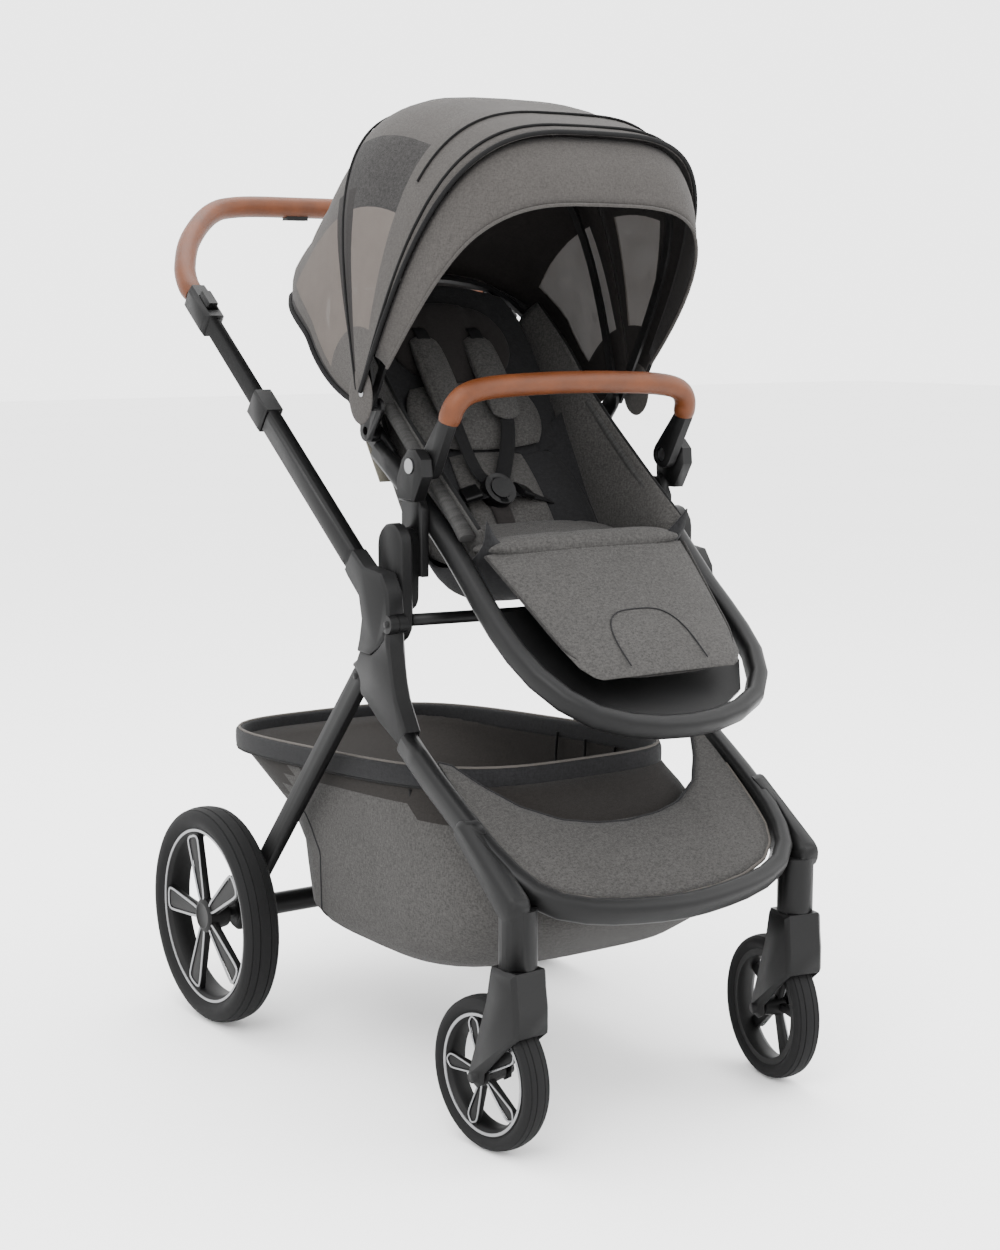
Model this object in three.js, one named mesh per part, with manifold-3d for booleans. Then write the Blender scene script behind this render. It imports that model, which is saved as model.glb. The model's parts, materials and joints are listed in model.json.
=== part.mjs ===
// A folding baby stroller: chassis with swivel casters, telescoping handle, reclining seat and hinged canopy.
// Millimetres, +Z up, the child faces -Y, X is across. The origin is on the ground under the middle of the box.
import * as THREE from "three";
import { mergeVertices } from "three/addons/utils/BufferGeometryUtils.js";
import Module from "manifold-3d";

const wasm = await Module();
wasm.setup();

// ---- driving dimensions -------------------------------------------------------------------------------------
const GAP = 0.3; // between pieces that touch
const RUN = 0.6; // between pieces that turn or slide on each other

const wheelbase = 590; // front axle to rear axle
const rearTyreRadius = 146;
const rearTyreWidth = 49.6;
const rearTrack = 519.2; // between the middles of the rear tyres
const frontTyreRadius = 90;
const frontTyreWidth = 35;
const frontTrack = 413;
const casterTrail = 48; // stem axis ahead of the front axle
const rimDepth = 27; // tread to rim, rear
const frontRimDepth = 17.5;

const stemRadius = 22;
const stemBottom = 226;
const casterTurnRight = 4.7; // degrees, how the free casters happen to stand
const casterTurnLeft = -10.4;

const tubeSlope = 37.3; // degrees, main tubes above the ground
const tubeCentreX = 235; // main tube centre plane
const tubeDepth = 31; // main tube height in its own plane
const tubeThick = 24; // main tube thickness across
const tubeTop = 410; // fold hinge to the top of the lock collar, along the tube
const hinge = { y: 162, z: 590 }; // fold hinge
const knuckleRadius = 11;
const pinRadius = 4;

const legDepth = 30; // front leg height in its own plane
const legThick = 22;
const rearLegDepth = 28;
const rearLegThick = 20;
const rearLegX = 220;
const rearHinge = { y: 262, z: 514 };

const handleReach = 630; // fold hinge to the end of the leather, along the tube
const gripRadius = 14.5;
const innerTubeDepth = 23;
const innerTubeThick = 15;
const handleHalfWidth = 235;

const seatSlope = 36.5; // degrees, plane of the seat frame
const seatHalfWidth = 166; // middle of the seat frame's side tubes
const seatTubeDepth = 26;
const seatTubeThick = 22;
const seatTop = { y: 318, z: 826 }; // canopy and seat frame hinge
const canopyHalfWidth = 206;
const bumperGripRadius = 13.5;
const bumperX = 190; // inner face of the bumper arms

// ---- colours ------------------------------------------------------------------------------------------------
const finish = (color, roughness, metalness = 0) => new THREE.MeshStandardMaterial({ color, roughness, metalness });
const frameBlack = finish(0x2d2d2e, 0.5, 0.3);
const plasticBlack = finish(0x232324, 0.6);
const rubberBlack = finish(0x1f1f20, 0.85);
const rimSilver = finish(0x9a9b9c, 0.35, 0.8);
const rimBlack = finish(0x161617, 0.5);
const leatherTan = finish(0x96552f, 0.5);
const fabricGrey = finish(0x6b6967, 0.95);
const fabricDark = finish(0x333335, 0.95);
const fabricCanopy = finish(0x7d7a78, 0.95);
const steel = finish(0xb5b6b8, 0.3, 0.9);

// ---- shape helpers ------------------------------------------------------------------------------------------
const rad = THREE.MathUtils.degToRad;

/** a manifold solid from a closed geometry */
function solid(geometry) {
  const flat = geometry.index ? geometry.toNonIndexed() : geometry.clone();
  flat.deleteAttribute("normal");
  flat.deleteAttribute("uv");
  const merged = mergeVertices(flat, 1e-3);
  const vertProperties = merged.attributes.position.array;
  const triVerts = new Uint32Array(merged.index.array);
  return new wasm.Manifold(new wasm.Mesh({ numProp: 3, vertProperties, triVerts }));
}

/** a three.js geometry from a manifold solid */
function geometryOf(body) {
  const mesh = body.getMesh();
  const geometry = new THREE.BufferGeometry();
  geometry.setAttribute("position", new THREE.BufferAttribute(new Float32Array(mesh.vertProperties), 3));
  geometry.setIndex(new THREE.BufferAttribute(new Uint32Array(mesh.triVerts), 1));
  return geometry;
}

const union = (...bodies) => bodies.reduce((sum, next) => sum.add(next));
const cut = (body, ...tools) => tools.reduce((rest, tool) => rest.subtract(tool), body);

// a side outline is drawn in (y, z) and extruded along x
const sideBasis = new THREE.Matrix4().makeBasis(
  new THREE.Vector3(0, 1, 0),
  new THREE.Vector3(0, 0, 1),
  new THREE.Vector3(1, 0, 0),
);

/** a plate between two x values, from a side outline, with its edges rounded by bevel */
function plate(outline, xFrom, xTo, bevel = 0, bevelSegments = 1) {
  const shape = outline instanceof THREE.Shape ? outline : new THREE.Shape(outline.map(([y, z]) => new THREE.Vector2(y, z)));
  const geometry = new THREE.ExtrudeGeometry(shape, {
    depth: xTo - xFrom - 2 * bevel,
    bevelEnabled: bevel > 0,
    bevelThickness: bevel,
    bevelSize: bevel,
    bevelOffset: -bevel,
    bevelSegments,
    curveSegments: 4,
  });
  return geometry.applyMatrix4(sideBasis).translate(xFrom + bevel, 0, 0);
}

/** a cylinder along x */
function rodX(y, z, radius, xFrom, xTo, sides = 18) {
  return new THREE.CylinderGeometry(radius, radius, xTo - xFrom, sides)
    .rotateZ(-Math.PI / 2)
    .translate((xFrom + xTo) / 2, y, z);
}

/** a solid of revolution about the x axis through (y, z); profile is [distance along x, radius], closed */
function turnedX(profile, x, y, z, segments = 32) {
  const points = profile.map(([along, radius]) => new THREE.Vector2(radius, along));
  if (THREE.ShapeUtils.area(points) < 0) points.reverse();
  return new THREE.LatheGeometry(points, segments).rotateZ(-Math.PI / 2).translate(x, y, z);
}

/** a rounded rectangle section, width along the first axis and height along the second */
function roundedSection(width, height, corner, perCorner = 2) {
  const shape = new THREE.Shape();
  const w = width / 2 - corner;
  const h = height / 2 - corner;
  shape.absarc(w, h, corner, 0, Math.PI / 2, false);
  shape.absarc(-w, h, corner, Math.PI / 2, Math.PI, false);
  shape.absarc(-w, -h, corner, Math.PI, 1.5 * Math.PI, false);
  shape.absarc(w, -h, corner, 1.5 * Math.PI, 2 * Math.PI, false);
  return new THREE.Shape(shape.extractPoints(perCorner).shape);
}

/** a plain rectangular section */
function flatSection(width, height) {
  const corners = [[1, 1], [-1, 1], [-1, -1], [1, -1]];
  return new THREE.Shape(corners.map(([u, v]) => new THREE.Vector2((u * width) / 2, (v * height) / 2)));
}

/** a round or oval section with a given number of sides */
function ovalSection(radiusAcross, radiusUp, sides) {
  const points = [];
  for (let i = 0; i < sides; i++) {
    const turn = (2 * Math.PI * (i + 0.5)) / sides;
    points.push(new THREE.Vector2(radiusAcross * Math.cos(turn), radiusUp * Math.sin(turn)));
  }
  return new THREE.Shape(points);
}

/** a section swept along a smooth curve through the points */
function sweep(section, points, steps) {
  const path = new THREE.CatmullRomCurve3(points.map(([x, y, z]) => new THREE.Vector3(x, y, z)), false, "centripetal");
  return new THREE.ExtrudeGeometry(section, { steps, bevelEnabled: false, extrudePath: path });
}

/** both halves of a path that is symmetric about x = 0; the half runs from the side to the middle */
function mirroredPath(half) {
  const other = half
    .slice(0, -1)
    .reverse()
    .map(([x, y, z]) => [-x, y, z]);
  return [...half, ...other];
}

/** a box from its lowest corner to its highest */
function block([x0, y0, z0], [x1, y1, z1]) {
  return new THREE.BoxGeometry(x1 - x0, y1 - y0, z1 - z0).translate((x0 + x1) / 2, (y0 + y1) / 2, (z0 + z1) / 2);
}

/** a point at a distance along and above a line that rises at an angle, in the side plane */
function along(origin, degrees, distance, above = 0) {
  const c = Math.cos(rad(degrees));
  const s = Math.sin(rad(degrees));
  return [origin.y + distance * c - above * s, origin.z + distance * s + above * c];
}

/** a side outline of a straight bar: a rectangle along a rising line, with its ends square */
function barOutline(origin, degrees, from, to, depth, above = 0) {
  return [
    along(origin, degrees, from, above - depth / 2),
    along(origin, degrees, to, above - depth / 2),
    along(origin, degrees, to, above + depth / 2),
    along(origin, degrees, from, above + depth / 2),
  ];
}

/** a side outline with a round end about each of two points */
function capsule(a, b, radiusA, radiusB) {
  const rise = Math.atan2(b.z - a.z, b.y - a.y);
  const shape = new THREE.Shape();
  shape.absarc(a.y, a.z, radiusA, rise + Math.PI / 2, rise + 1.5 * Math.PI, false);
  shape.absarc(b.y, b.z, radiusB, rise - Math.PI / 2, rise + Math.PI / 2, false);
  return shape;
}

// ---- the group and its placing helpers ----------------------------------------------------------------------
const stroller = new THREE.Group();

/** one named piece */
function piece(name, shape, material) {
  const geometry = shape.isBufferGeometry ? shape : geometryOf(shape);
  const mesh = new THREE.Mesh(geometry, material);
  mesh.name = name;
  stroller.add(mesh);
  return mesh;
}

/** a left piece made at +x, and its mirror image on the right */
function pair(name, shape, material) {
  const geometry = shape.isBufferGeometry ? shape : geometryOf(shape);
  piece(name + "_left", geometry, material);
  piece(name + "_right", geometry, material).scale.x = -1;
}

// ---- wheels -------------------------------------------------------------------------------------------------
const rearAxle = { y: wheelbase, z: rearTyreRadius };
const frontAxle = { y: 0, z: frontTyreRadius };
const rearWheelX = rearTrack / 2;
const frontWheelX = frontTrack / 2;
const stemY = -casterTrail;

function tyre(radius, width, depth, segments) {
  const half = width / 2;
  const inner = radius - depth;
  const profile = [
    [-0.36 * width, inner],
    [0.36 * width, inner],
    [half, inner + 0.35 * depth],
    [0.44 * width, radius - 0.28 * depth],
    [0.22 * width, radius - 0.04 * depth],
    [0, radius],
    [-0.22 * width, radius - 0.04 * depth],
    [-0.44 * width, radius - 0.28 * depth],
    [-half, inner + 0.35 * depth],
    [-0.36 * width, inner],
  ];
  return (x, axle) => turnedX(profile, x, axle.y, axle.z, segments);
}

/** ring, hub and five spokes; the hub is bored for the axle */
function rim({ outer, width, wall, hubRadius, hubWidth, bore, spokeWidth, spokeThick, segments, out }) {
  const ring = solid(
    turnedX(
      [
        [-width / 2, outer - wall],
        [width / 2, outer - wall],
        [width / 2, outer],
        [-width / 2, outer],
        [-width / 2, outer - wall],
      ],
      0,
      0,
      0,
      segments,
    ),
  );
  const hub = solid(rodX(0, 0, hubRadius, -hubWidth / 2, hubWidth / 2, 20));
  const spokes = [];
  for (let i = 0; i < 5; i++) {
    const from = hubRadius - 3;
    const to = outer - wall / 2;
    const outline = [
      [-spokeWidth * 0.35, from],
      [spokeWidth * 0.35, from],
      [spokeWidth * 0.65, to],
      [-spokeWidth * 0.65, to],
    ];
    const spoke = plate(outline, out - spokeThick, out).rotateX(rad(72 * i));
    spokes.push(solid(spoke));
  }
  const axleHole = solid(rodX(0, 0, bore, -hubWidth, hubWidth, 16));
  return geometryOf(cut(union(ring, hub, ...spokes), axleHole));
}

const axleRadius = 6;
const rearRimOuter = rearTyreRadius - rimDepth - GAP;
const rearRim = rim({
  outer: rearRimOuter,
  width: 34,
  wall: 9,
  hubRadius: 19,
  hubWidth: 36,
  bore: axleRadius + RUN,
  spokeWidth: 30,
  spokeThick: 12,
  segments: 30,
  out: 15,
});
const rearTyre = tyre(rearTyreRadius, rearTyreWidth, rimDepth, 30);
pair("rear_tyre", rearTyre(rearWheelX, rearAxle), rubberBlack);
const capInner = rearWheelX + 17;
const hubCap = turnedX(
  [
    [0, 0],
    [0, 18],
    [2.5, 17],
    [4.5, 12],
    [5, 0],
  ],
  capInner,
  rearAxle.y,
  rearAxle.z,
  20,
);
pair(
  "rear_rim",
  union(solid(rearRim.clone().translate(rearWheelX, rearAxle.y, rearAxle.z)), solid(hubCap)),
  rimSilver,
);

// ---- front casters ------------------------------------------------------------------------------------------
const frontRimOuter = frontTyreRadius - frontRimDepth - GAP;
const boltRadius = 4;
const frontRimShape = {
  outer: frontRimOuter,
  width: 26,
  wall: 6,
  hubRadius: 12,
  hubWidth: 30,
  bore: boltRadius + RUN,
  spokeWidth: 17,
  spokeThick: 9,
  segments: 26,
  out: 11,
};
const forkHalf = frontTyreWidth / 2 + 8;
const forkWell = frontTyreWidth / 2 + 2;

function forkSolid(x) {
  const a = frontAxle;
  const top = stemBottom - RUN;
  const outline = [
    [a.y - 12, a.z - 7],
    [a.y, a.z - 14],
    [a.y + 12, a.z - 7],
    [a.y + 14, a.z + 4],
    [stemY + 30, a.z + 96],
    [stemY + 26, a.z + 116],
    [stemY + 22, top],
    [stemY - 22, top],
    [stemY - 24, a.z + 112],
    [stemY - 27, a.z + 92],
    [stemY - 27, a.z + 62],
    [stemY - 5, a.z + 44],
    [a.y - 13, a.z + 6],
  ];
  const body = solid(plate(outline, x - forkHalf, x + forkHalf, 5));
  const well = solid(rodX(a.y, a.z, frontTyreRadius + 6, x - forkWell, x + forkWell, 24));
  const latchSlot = solid(block([x - 9 - GAP, stemY + 17, stemBottom - 34], [x + 9 + GAP, stemY + 60, stemBottom + 2]));
  return cut(body, well, latchSlot);
}

/** the caster on one side: fork, tyre, rim, bolt and swivel latch, turned together about the stem */
function caster(side, sign, turn) {
  const x = sign * frontWheelX;
  const swivel = (shape) => {
    const geometry = shape.isBufferGeometry ? shape : geometryOf(shape);
    return geometry.translate(-x, -stemY, 0).rotateZ(rad(turn)).translate(x, stemY, 0);
  };
  const frontTyre = tyre(frontTyreRadius, frontTyreWidth, frontRimDepth, 26);
  piece("front_tyre_" + side, swivel(frontTyre(x, frontAxle)), rubberBlack);
  const wheelRim = rim({ ...frontRimShape, out: frontRimShape.out }).scale(sign, 1, 1);
  if (sign < 0) wheelRim.index.array.reverse();
  piece("front_rim_" + side, swivel(wheelRim.translate(x, frontAxle.y, frontAxle.z)), rimSilver);
  const shank = solid(rodX(frontAxle.y, frontAxle.z, boltRadius, x - forkHalf - 3, x + forkHalf + 3, 16));
  const headOut = solid(rodX(frontAxle.y, frontAxle.z, 7, x + forkHalf - 1, x + forkHalf + 3.5, 16));
  const headIn = solid(rodX(frontAxle.y, frontAxle.z, 7, x - forkHalf - 3.5, x - forkHalf + 1, 16));
  piece("caster_fork_" + side, swivel(union(forkSolid(x), shank, headOut, headIn)), plasticBlack);
  const latch = [
    [stemY + 17 + GAP, stemBottom - 33],
    [stemY + 27, stemBottom - 33],
    [stemY + 34, stemBottom - 20],
    [stemY + 34, stemBottom - 13],
    [stemY + 26, stemBottom - 8],
    [stemY + 17 + GAP, stemBottom - 8],
  ];
  piece("swivel_latch_" + side, swivel(plate(latch, x - 9, x + 9, 1.5)), plasticBlack);
}
caster("left", 1, casterTurnLeft);
caster("right", -1, casterTurnRight);

// ---- chassis: front frame, hub castings and caster stems ----------------------------------------------------
const legPath = [
  [214, 172, 446],
  [213, 122, 412],
  [212, 80, 387],
  [210, 39, 362],
  [204, -4, 335],
  [188, -42, 308],
  [158, -66, 291],
  [108, -81, 281],
  [52, -89, 276],
  [0, -92, 274],
];
const legSteps = 28;
const legSection = (grow) => roundedSection(legThick + 2 * grow, legDepth + 2 * grow, 7, 1);
piece("front_frame_tube", sweep(legSection(0), mirroredPath(legPath), legSteps), frameBlack);
const legEnd = { y: legPath[0][1], z: legPath[0][2] };
const legSlope = THREE.MathUtils.radToDeg(Math.atan2(legPath[0][2] - legPath[1][2], legPath[0][1] - legPath[1][1]));

const castInner = tubeCentreX - tubeThick / 2;
const castOuter = tubeCentreX + tubeThick / 2;
const leanTop = 560; // below this height the castings lean inwards to the legs
const lean = 0.25;
const leanIn = (geometry) => {
  const position = geometry.attributes.position;
  for (let i = 0; i < position.count; i++) {
    const drop = Math.max(0, leanTop - position.getZ(i));
    position.setX(i, position.getX(i) - lean * drop);
  }
  return geometry;
};

const seam = [
  [170, 573],
  [185, 560],
  [206, 549],
  [232, 550],
];
const [legLowY, legLowZ] = along(legEnd, legSlope, GAP, -legDepth / 2);
const [legHighY, legHighZ] = along(legEnd, legSlope, GAP, legDepth / 2);
const earRadius = rearLegDepth / 2;
const lowerOutline = [
  [hinge.y, hinge.z - GAP],
  ...seam.map(([y, z]) => [y, z - GAP]),
  [244, 537],
  [rearHinge.y + 0.72 * earRadius, rearHinge.z + 0.69 * earRadius],
  [rearHinge.y + earRadius, rearHinge.z],
  [rearHinge.y + 0.6 * earRadius, rearHinge.z - 0.8 * earRadius],
  [rearHinge.y - 4, rearHinge.z - 15],
  [246, 489],
  [222, 462],
  [legLowY, legLowZ],
  [legHighY, legHighZ],
  [167, 478],
  [170, 498],
  [168, 518],
  [163, 540],
  [159, 562],
  [159, 578],
];
const clearEar = earRadius + 5;
const earInner = rearLegX - 4;
const earOuter = rearLegX + 4;
const rearSlope = THREE.MathUtils.radToDeg(Math.atan2(rearAxle.z - rearHinge.z, rearAxle.y - rearHinge.y));
const rearLegFold = 40; // degrees the rear legs fold forward
const legSwing = [0, 0.2, 0.4, 0.6, 0.8, 1].map((share) => {
  const swung = barOutline(rearHinge, rearSlope - share * rearLegFold, 0, clearEar + 80, 2 * (earRadius + RUN));
  const keptEar = solid(rodX(rearHinge.y, rearHinge.z, clearEar - RUN, castInner - 61, castOuter + 31, 24));
  return cut(solid(plate(swung, castInner - 60, castOuter + 30)), keptEar);
});
const lowerCasting = union(
  cut(
    union(
      solid(leanIn(plate(lowerOutline, castInner, castOuter, 3))),
      solid(rodX(hinge.y, hinge.z, knuckleRadius, castInner, tubeCentreX - GAP)),
    ),
    solid(rodX(hinge.y, hinge.z, knuckleRadius + RUN, tubeCentreX - GAP, castOuter + 5)),
    solid(rodX(rearHinge.y, rearHinge.z, clearEar, castInner - 60, earInner)),
    solid(rodX(rearHinge.y, rearHinge.z, clearEar, earOuter, castOuter + 30)),
    ...legSwing,
  ),
  solid(rodX(hinge.y, hinge.z, pinRadius, castInner + 2, castOuter + 2, 16)),
  solid(rodX(rearHinge.y, rearHinge.z, pinRadius, rearLegX - 12, rearLegX + 12, 16)),
);
pair("leg_casting", lowerCasting, plasticBlack);

const armFrom = { y: 38, z: 364 };
const armTo = { y: stemY - 2, z: 297 };
const armOutline = capsule(armFrom, armTo, 14, 19);
const stemTop = armTo.z - 4;
const casterStem = cut(
  union(
    solid(
      new THREE.CylinderGeometry(stemRadius, stemRadius, stemTop - stemBottom, 20)
        .rotateX(Math.PI / 2)
        .translate(frontWheelX, stemY, (stemTop + stemBottom) / 2),
    ),
    solid(plate(armOutline, 200, 230, 6)),
  ),
  solid(sweep(legSection(GAP), mirroredPath(legPath), legSteps)),
);
pair("caster_stem", casterStem, plasticBlack);

// ---- rear legs, axle, wheel mounts and brake -----------------------------------------------------------------
const axleTubeRadius = 15;
const rearLegOutline = new THREE.Shape();
rearLegOutline.absarc(rearHinge.y, rearHinge.z, earRadius, rad(rearSlope + 90), rad(rearSlope + 270), false);
rearLegOutline.lineTo(...along(rearAxle, rearSlope, 0, -earRadius));
rearLegOutline.lineTo(...along(rearAxle, rearSlope, 0, earRadius));
const legSocket = solid(rodX(rearAxle.y, rearAxle.z, axleTubeRadius + GAP, rearLegX - 40, rearLegX + 40));
const footTop = along(rearAxle, rearSlope, -34);
const legFoot = plate(
  capsule(rearAxle, { y: footTop[0], z: footTop[1] }, 27, 21),
  rearLegX - rearLegThick / 2 - 10,
  rearLegX + rearLegThick / 2 + 1,
  4,
);
const rearLeg = cut(
  union(
    solid(plate(rearLegOutline, rearLegX - rearLegThick / 2, rearLegX + rearLegThick / 2, 5)),
    solid(legFoot),
  ),
  solid(rodX(rearHinge.y, rearHinge.z, clearEar, earInner - RUN, earOuter + RUN)),
  solid(rodX(rearHinge.y, rearHinge.z, pinRadius + GAP, rearLegX - 40, rearLegX + 40, 16)),
  legSocket,
);
pair("rear_leg", rearLeg, frameBlack);

const axleEnd = rearWheelX - rearTyreWidth / 2 - 3;
const capEnd = capInner - 1;
const rearAxleBody = union(
  solid(rodX(rearAxle.y, rearAxle.z, axleTubeRadius, -axleEnd, axleEnd)),
  solid(rodX(rearAxle.y, rearAxle.z, axleRadius, -capEnd, capEnd, 16)),
);
piece("rear_axle", rearAxleBody, frameBlack);

const pedalHub = axleTubeRadius + RUN;
const pedalSleeve = union(
  solid(rodX(rearAxle.y, rearAxle.z, pedalHub + 4, 40, 110)),
  solid(plate(barOutline(rearAxle, 20, pedalHub, 62, 8), 45, 105, 2)),
);
const brakePedal = cut(pedalSleeve, solid(rodX(rearAxle.y, rearAxle.z, pedalHub, 0, 200)));
piece("brake_pedal", brakePedal, plasticBlack);

// ---- upper frame: hub housing, main tube and lock collar -------------------------------------------------------
const tubeFrom = 62; // where the tube leaves the hub housing
const upperOutline = [
  [hinge.y, hinge.z],
  ...seam.slice(0, 4),
  [226, 568],
  [221, 590],
  [227, 616],
  along(hinge, tubeSlope, 100, -tubeDepth / 2 - 2),
  along(hinge, tubeSlope, 112, -tubeDepth / 2),
  along(hinge, tubeSlope, 112, tubeDepth / 2),
  along(hinge, tubeSlope, 80, tubeDepth / 2 + 2),
  [176, 648],
  [162, 628],
  [159, 602],
];
const mainTubeBar = (grow) =>
  barOutline(hinge, tubeSlope, tubeFrom - grow, tubeTop - 40 - GAP, tubeDepth - 6 + 2 * grow);
const hubHousing = cut(
  union(
    solid(plate(upperOutline, castInner, castOuter, 3)),
    solid(rodX(hinge.y, hinge.z, knuckleRadius, tubeCentreX + GAP, castOuter)),
  ),
  solid(rodX(hinge.y, hinge.z, knuckleRadius + RUN, castInner - 5, tubeCentreX + GAP)),
  solid(rodX(hinge.y, hinge.z, pinRadius + GAP, castInner - 5, castOuter + 5, 16)),
  solid(plate(mainTubeBar(GAP), castInner + 3 - GAP, castOuter - 3 + GAP)),
);
pair("hub_housing", hubHousing, plasticBlack);

const boreDepth = innerTubeDepth + 2 * GAP;
const boreThick = innerTubeThick + 2 * GAP;
const bore = solid(
  plate(
    barOutline(hinge, tubeSlope, tubeFrom + 30, tubeTop + 20, boreDepth),
    tubeCentreX - boreThick / 2,
    tubeCentreX + boreThick / 2,
  ),
);
const mainTube = cut(
  union(
    solid(plate(mainTubeBar(0), castInner + 3, castOuter - 3)),
    solid(plate(barOutline(hinge, tubeSlope, 112 + GAP, tubeTop - 39, tubeDepth), castInner, castOuter, 6)),
    solid(plate(barOutline(hinge, tubeSlope, tubeTop - 40, tubeTop, tubeDepth + 5), castInner - 2, castOuter + 2, 3)),
  ),
  bore,
);
pair("main_tube", mainTube, frameBlack);

// ---- telescoping handle ------------------------------------------------------------------------------------
const connectorFrom = handleReach - 66;
const innerTube = plate(
  barOutline(hinge, tubeSlope, tubeTop - 170, connectorFrom + 8, innerTubeDepth),
  tubeCentreX - innerTubeThick / 2,
  tubeCentreX + innerTubeThick / 2,
  2,
);
const triggerY = along(hinge, tubeSlope, connectorFrom + 30, 19);
const connector = cut(
  solid(plate(barOutline(hinge, tubeSlope, connectorFrom, handleReach, 34), tubeCentreX - 15, tubeCentreX + 15, 6)),
  solid(
    plate(
      barOutline(hinge, tubeSlope, connectorFrom + 12, connectorFrom + 44, 20, 20),
      tubeCentreX - 8 - GAP,
      tubeCentreX + 8 + GAP,
    ),
  ),
);
pair("handle_tube", union(solid(innerTube), connector), frameBlack);
const trigger = plate(
  barOutline(hinge, tubeSlope, connectorFrom + 16, connectorFrom + 43, 14, 18),
  tubeCentreX - 8,
  tubeCentreX + 8,
  2,
);
pair("fold_trigger", trigger, plasticBlack);

const at = (x, distance, above) => [x, ...along(hinge, tubeSlope, distance, above)];
const gripHalf = [
  at(handleHalfWidth, handleReach + 1, 0),
  at(handleHalfWidth, handleReach + 24, 0),
  at(handleHalfWidth - 9, handleReach + 60, 3),
  at(handleHalfWidth - 39, handleReach + 116, 7),
  at(handleHalfWidth - 91, handleReach + 172, 10),
  at(handleHalfWidth - 140, handleReach + 190, 12),
  at(0, handleReach + 193, 12),
];
const gripLast = { distance: handleReach + 193, above: 12 };
const [gripY, gripZ] = along(hinge, tubeSlope, gripLast.distance, gripLast.above);
const buttonLength = 34;
const buttonWidth = 14;
const buttonTop = gripZ - gripRadius + 4;
const buttonBottom = gripZ - gripRadius - 4;
const gripSweep = solid(sweep(ovalSection(gripRadius, gripRadius, 8), mirroredPath(gripHalf), 28));
const buttonWell = block(
  [-buttonLength / 2 - RUN, gripY - buttonWidth / 2 - RUN, buttonBottom - 20],
  [buttonLength / 2 + RUN, gripY + buttonWidth / 2 + RUN, buttonTop + 4],
);
piece("handle_grip", cut(gripSweep, solid(buttonWell)), leatherTan);
piece(
  "height_button",
  block([-buttonLength / 2, gripY - buttonWidth / 2, buttonBottom], [buttonLength / 2, gripY + buttonWidth / 2, buttonTop]),
  plasticBlack,
);

// ---- crossbar and seat mounts -------------------------------------------------------------------------------
const mountInner = 201;
const mountOuter = castInner - 1.5;
const mountRadius = 26;
const mountMiddle = 199; // y of the seat mount
const mountLow = 588;
const mountHigh = 678;
const mountOutline = capsule(
  { y: mountMiddle, z: mountLow },
  { y: mountMiddle, z: mountHigh },
  mountRadius,
  mountRadius,
);
const socketInner = bumperX + GAP; // the seat's plug slides in beside this boss
const mountBoss = plate(
  capsule({ y: mountMiddle, z: mountLow + 30 }, { y: mountMiddle, z: mountHigh }, mountRadius - 8, mountRadius - 6),
  socketInner,
  mountInner + 5,
);
const seatMount = union(solid(plate(mountOutline, mountInner, mountOuter, 4)), solid(mountBoss));
pair("seat_mount", seatMount, plasticBlack);
const crossbarRadius = 7.5;
piece(
  "crossbar",
  sweep(
    ovalSection(crossbarRadius, crossbarRadius, 10),
    mirroredPath([
      [mountInner - GAP, 180, 590],
      [120, 180, 588],
      [0, 180, 586],
    ]),
    8,
  ),
  frameBlack,
);

// ---- shapes drawn in a sloping plane -------------------------------------------------------------------------
/** a plate from an outline in (x, distance up the slope), between two heights above the plane */
function slopePlate(outline, origin, degrees, low, high, bevel = 0) {
  const shape = outline instanceof THREE.Shape ? outline : new THREE.Shape(outline.map(([x, s]) => new THREE.Vector2(x, s)));
  const c = Math.cos(rad(degrees));
  const s = Math.sin(rad(degrees));
  const basis = new THREE.Matrix4().makeBasis(
    new THREE.Vector3(1, 0, 0),
    new THREE.Vector3(0, c, s),
    new THREE.Vector3(0, -s, c),
  );
  return new THREE.ExtrudeGeometry(shape, {
    depth: high - low - 2 * bevel,
    bevelEnabled: bevel > 0,
    bevelThickness: bevel,
    bevelSize: bevel,
    bevelOffset: -bevel,
    bevelSegments: 1,
    curveSegments: 4,
  })
    .translate(0, 0, low + bevel)
    .applyMatrix4(basis)
    .translate(0, origin.y, origin.z);
}

/** the closed outline of a half given from the middle to the side and back to the middle */
const wholeOutline = (half) => [...half, ...half.slice().reverse().filter(([x]) => x !== 0).map(([x, s]) => [-x, s])];

// ---- basket ---------------------------------------------------------------------------------------------------
const basketRings = [
  // height, front, rear, half width, rise towards the front
  [150, 235, 480, 110, 0],
  [153, 160, 524, 160, 0],
  [176, 85, 542, 190, 0],
  [255, -30, 562, 197, 0],
  [300, -20, 610, 193, 0.02],
  [345, 50, 705, 191, 0.05],
  [372, 104, 768, 188, 0.066],
];
const basketWall = 4;
const basketSides = 28;
const squareness = 3.6;

/** how far a rounded rectangle of half sizes 1 reaches in a direction */
function roundedReach(turn) {
  const c = Math.abs(Math.cos(turn));
  const s = Math.abs(Math.sin(turn));
  return (c ** squareness + s ** squareness) ** (-1 / squareness);
}

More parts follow.
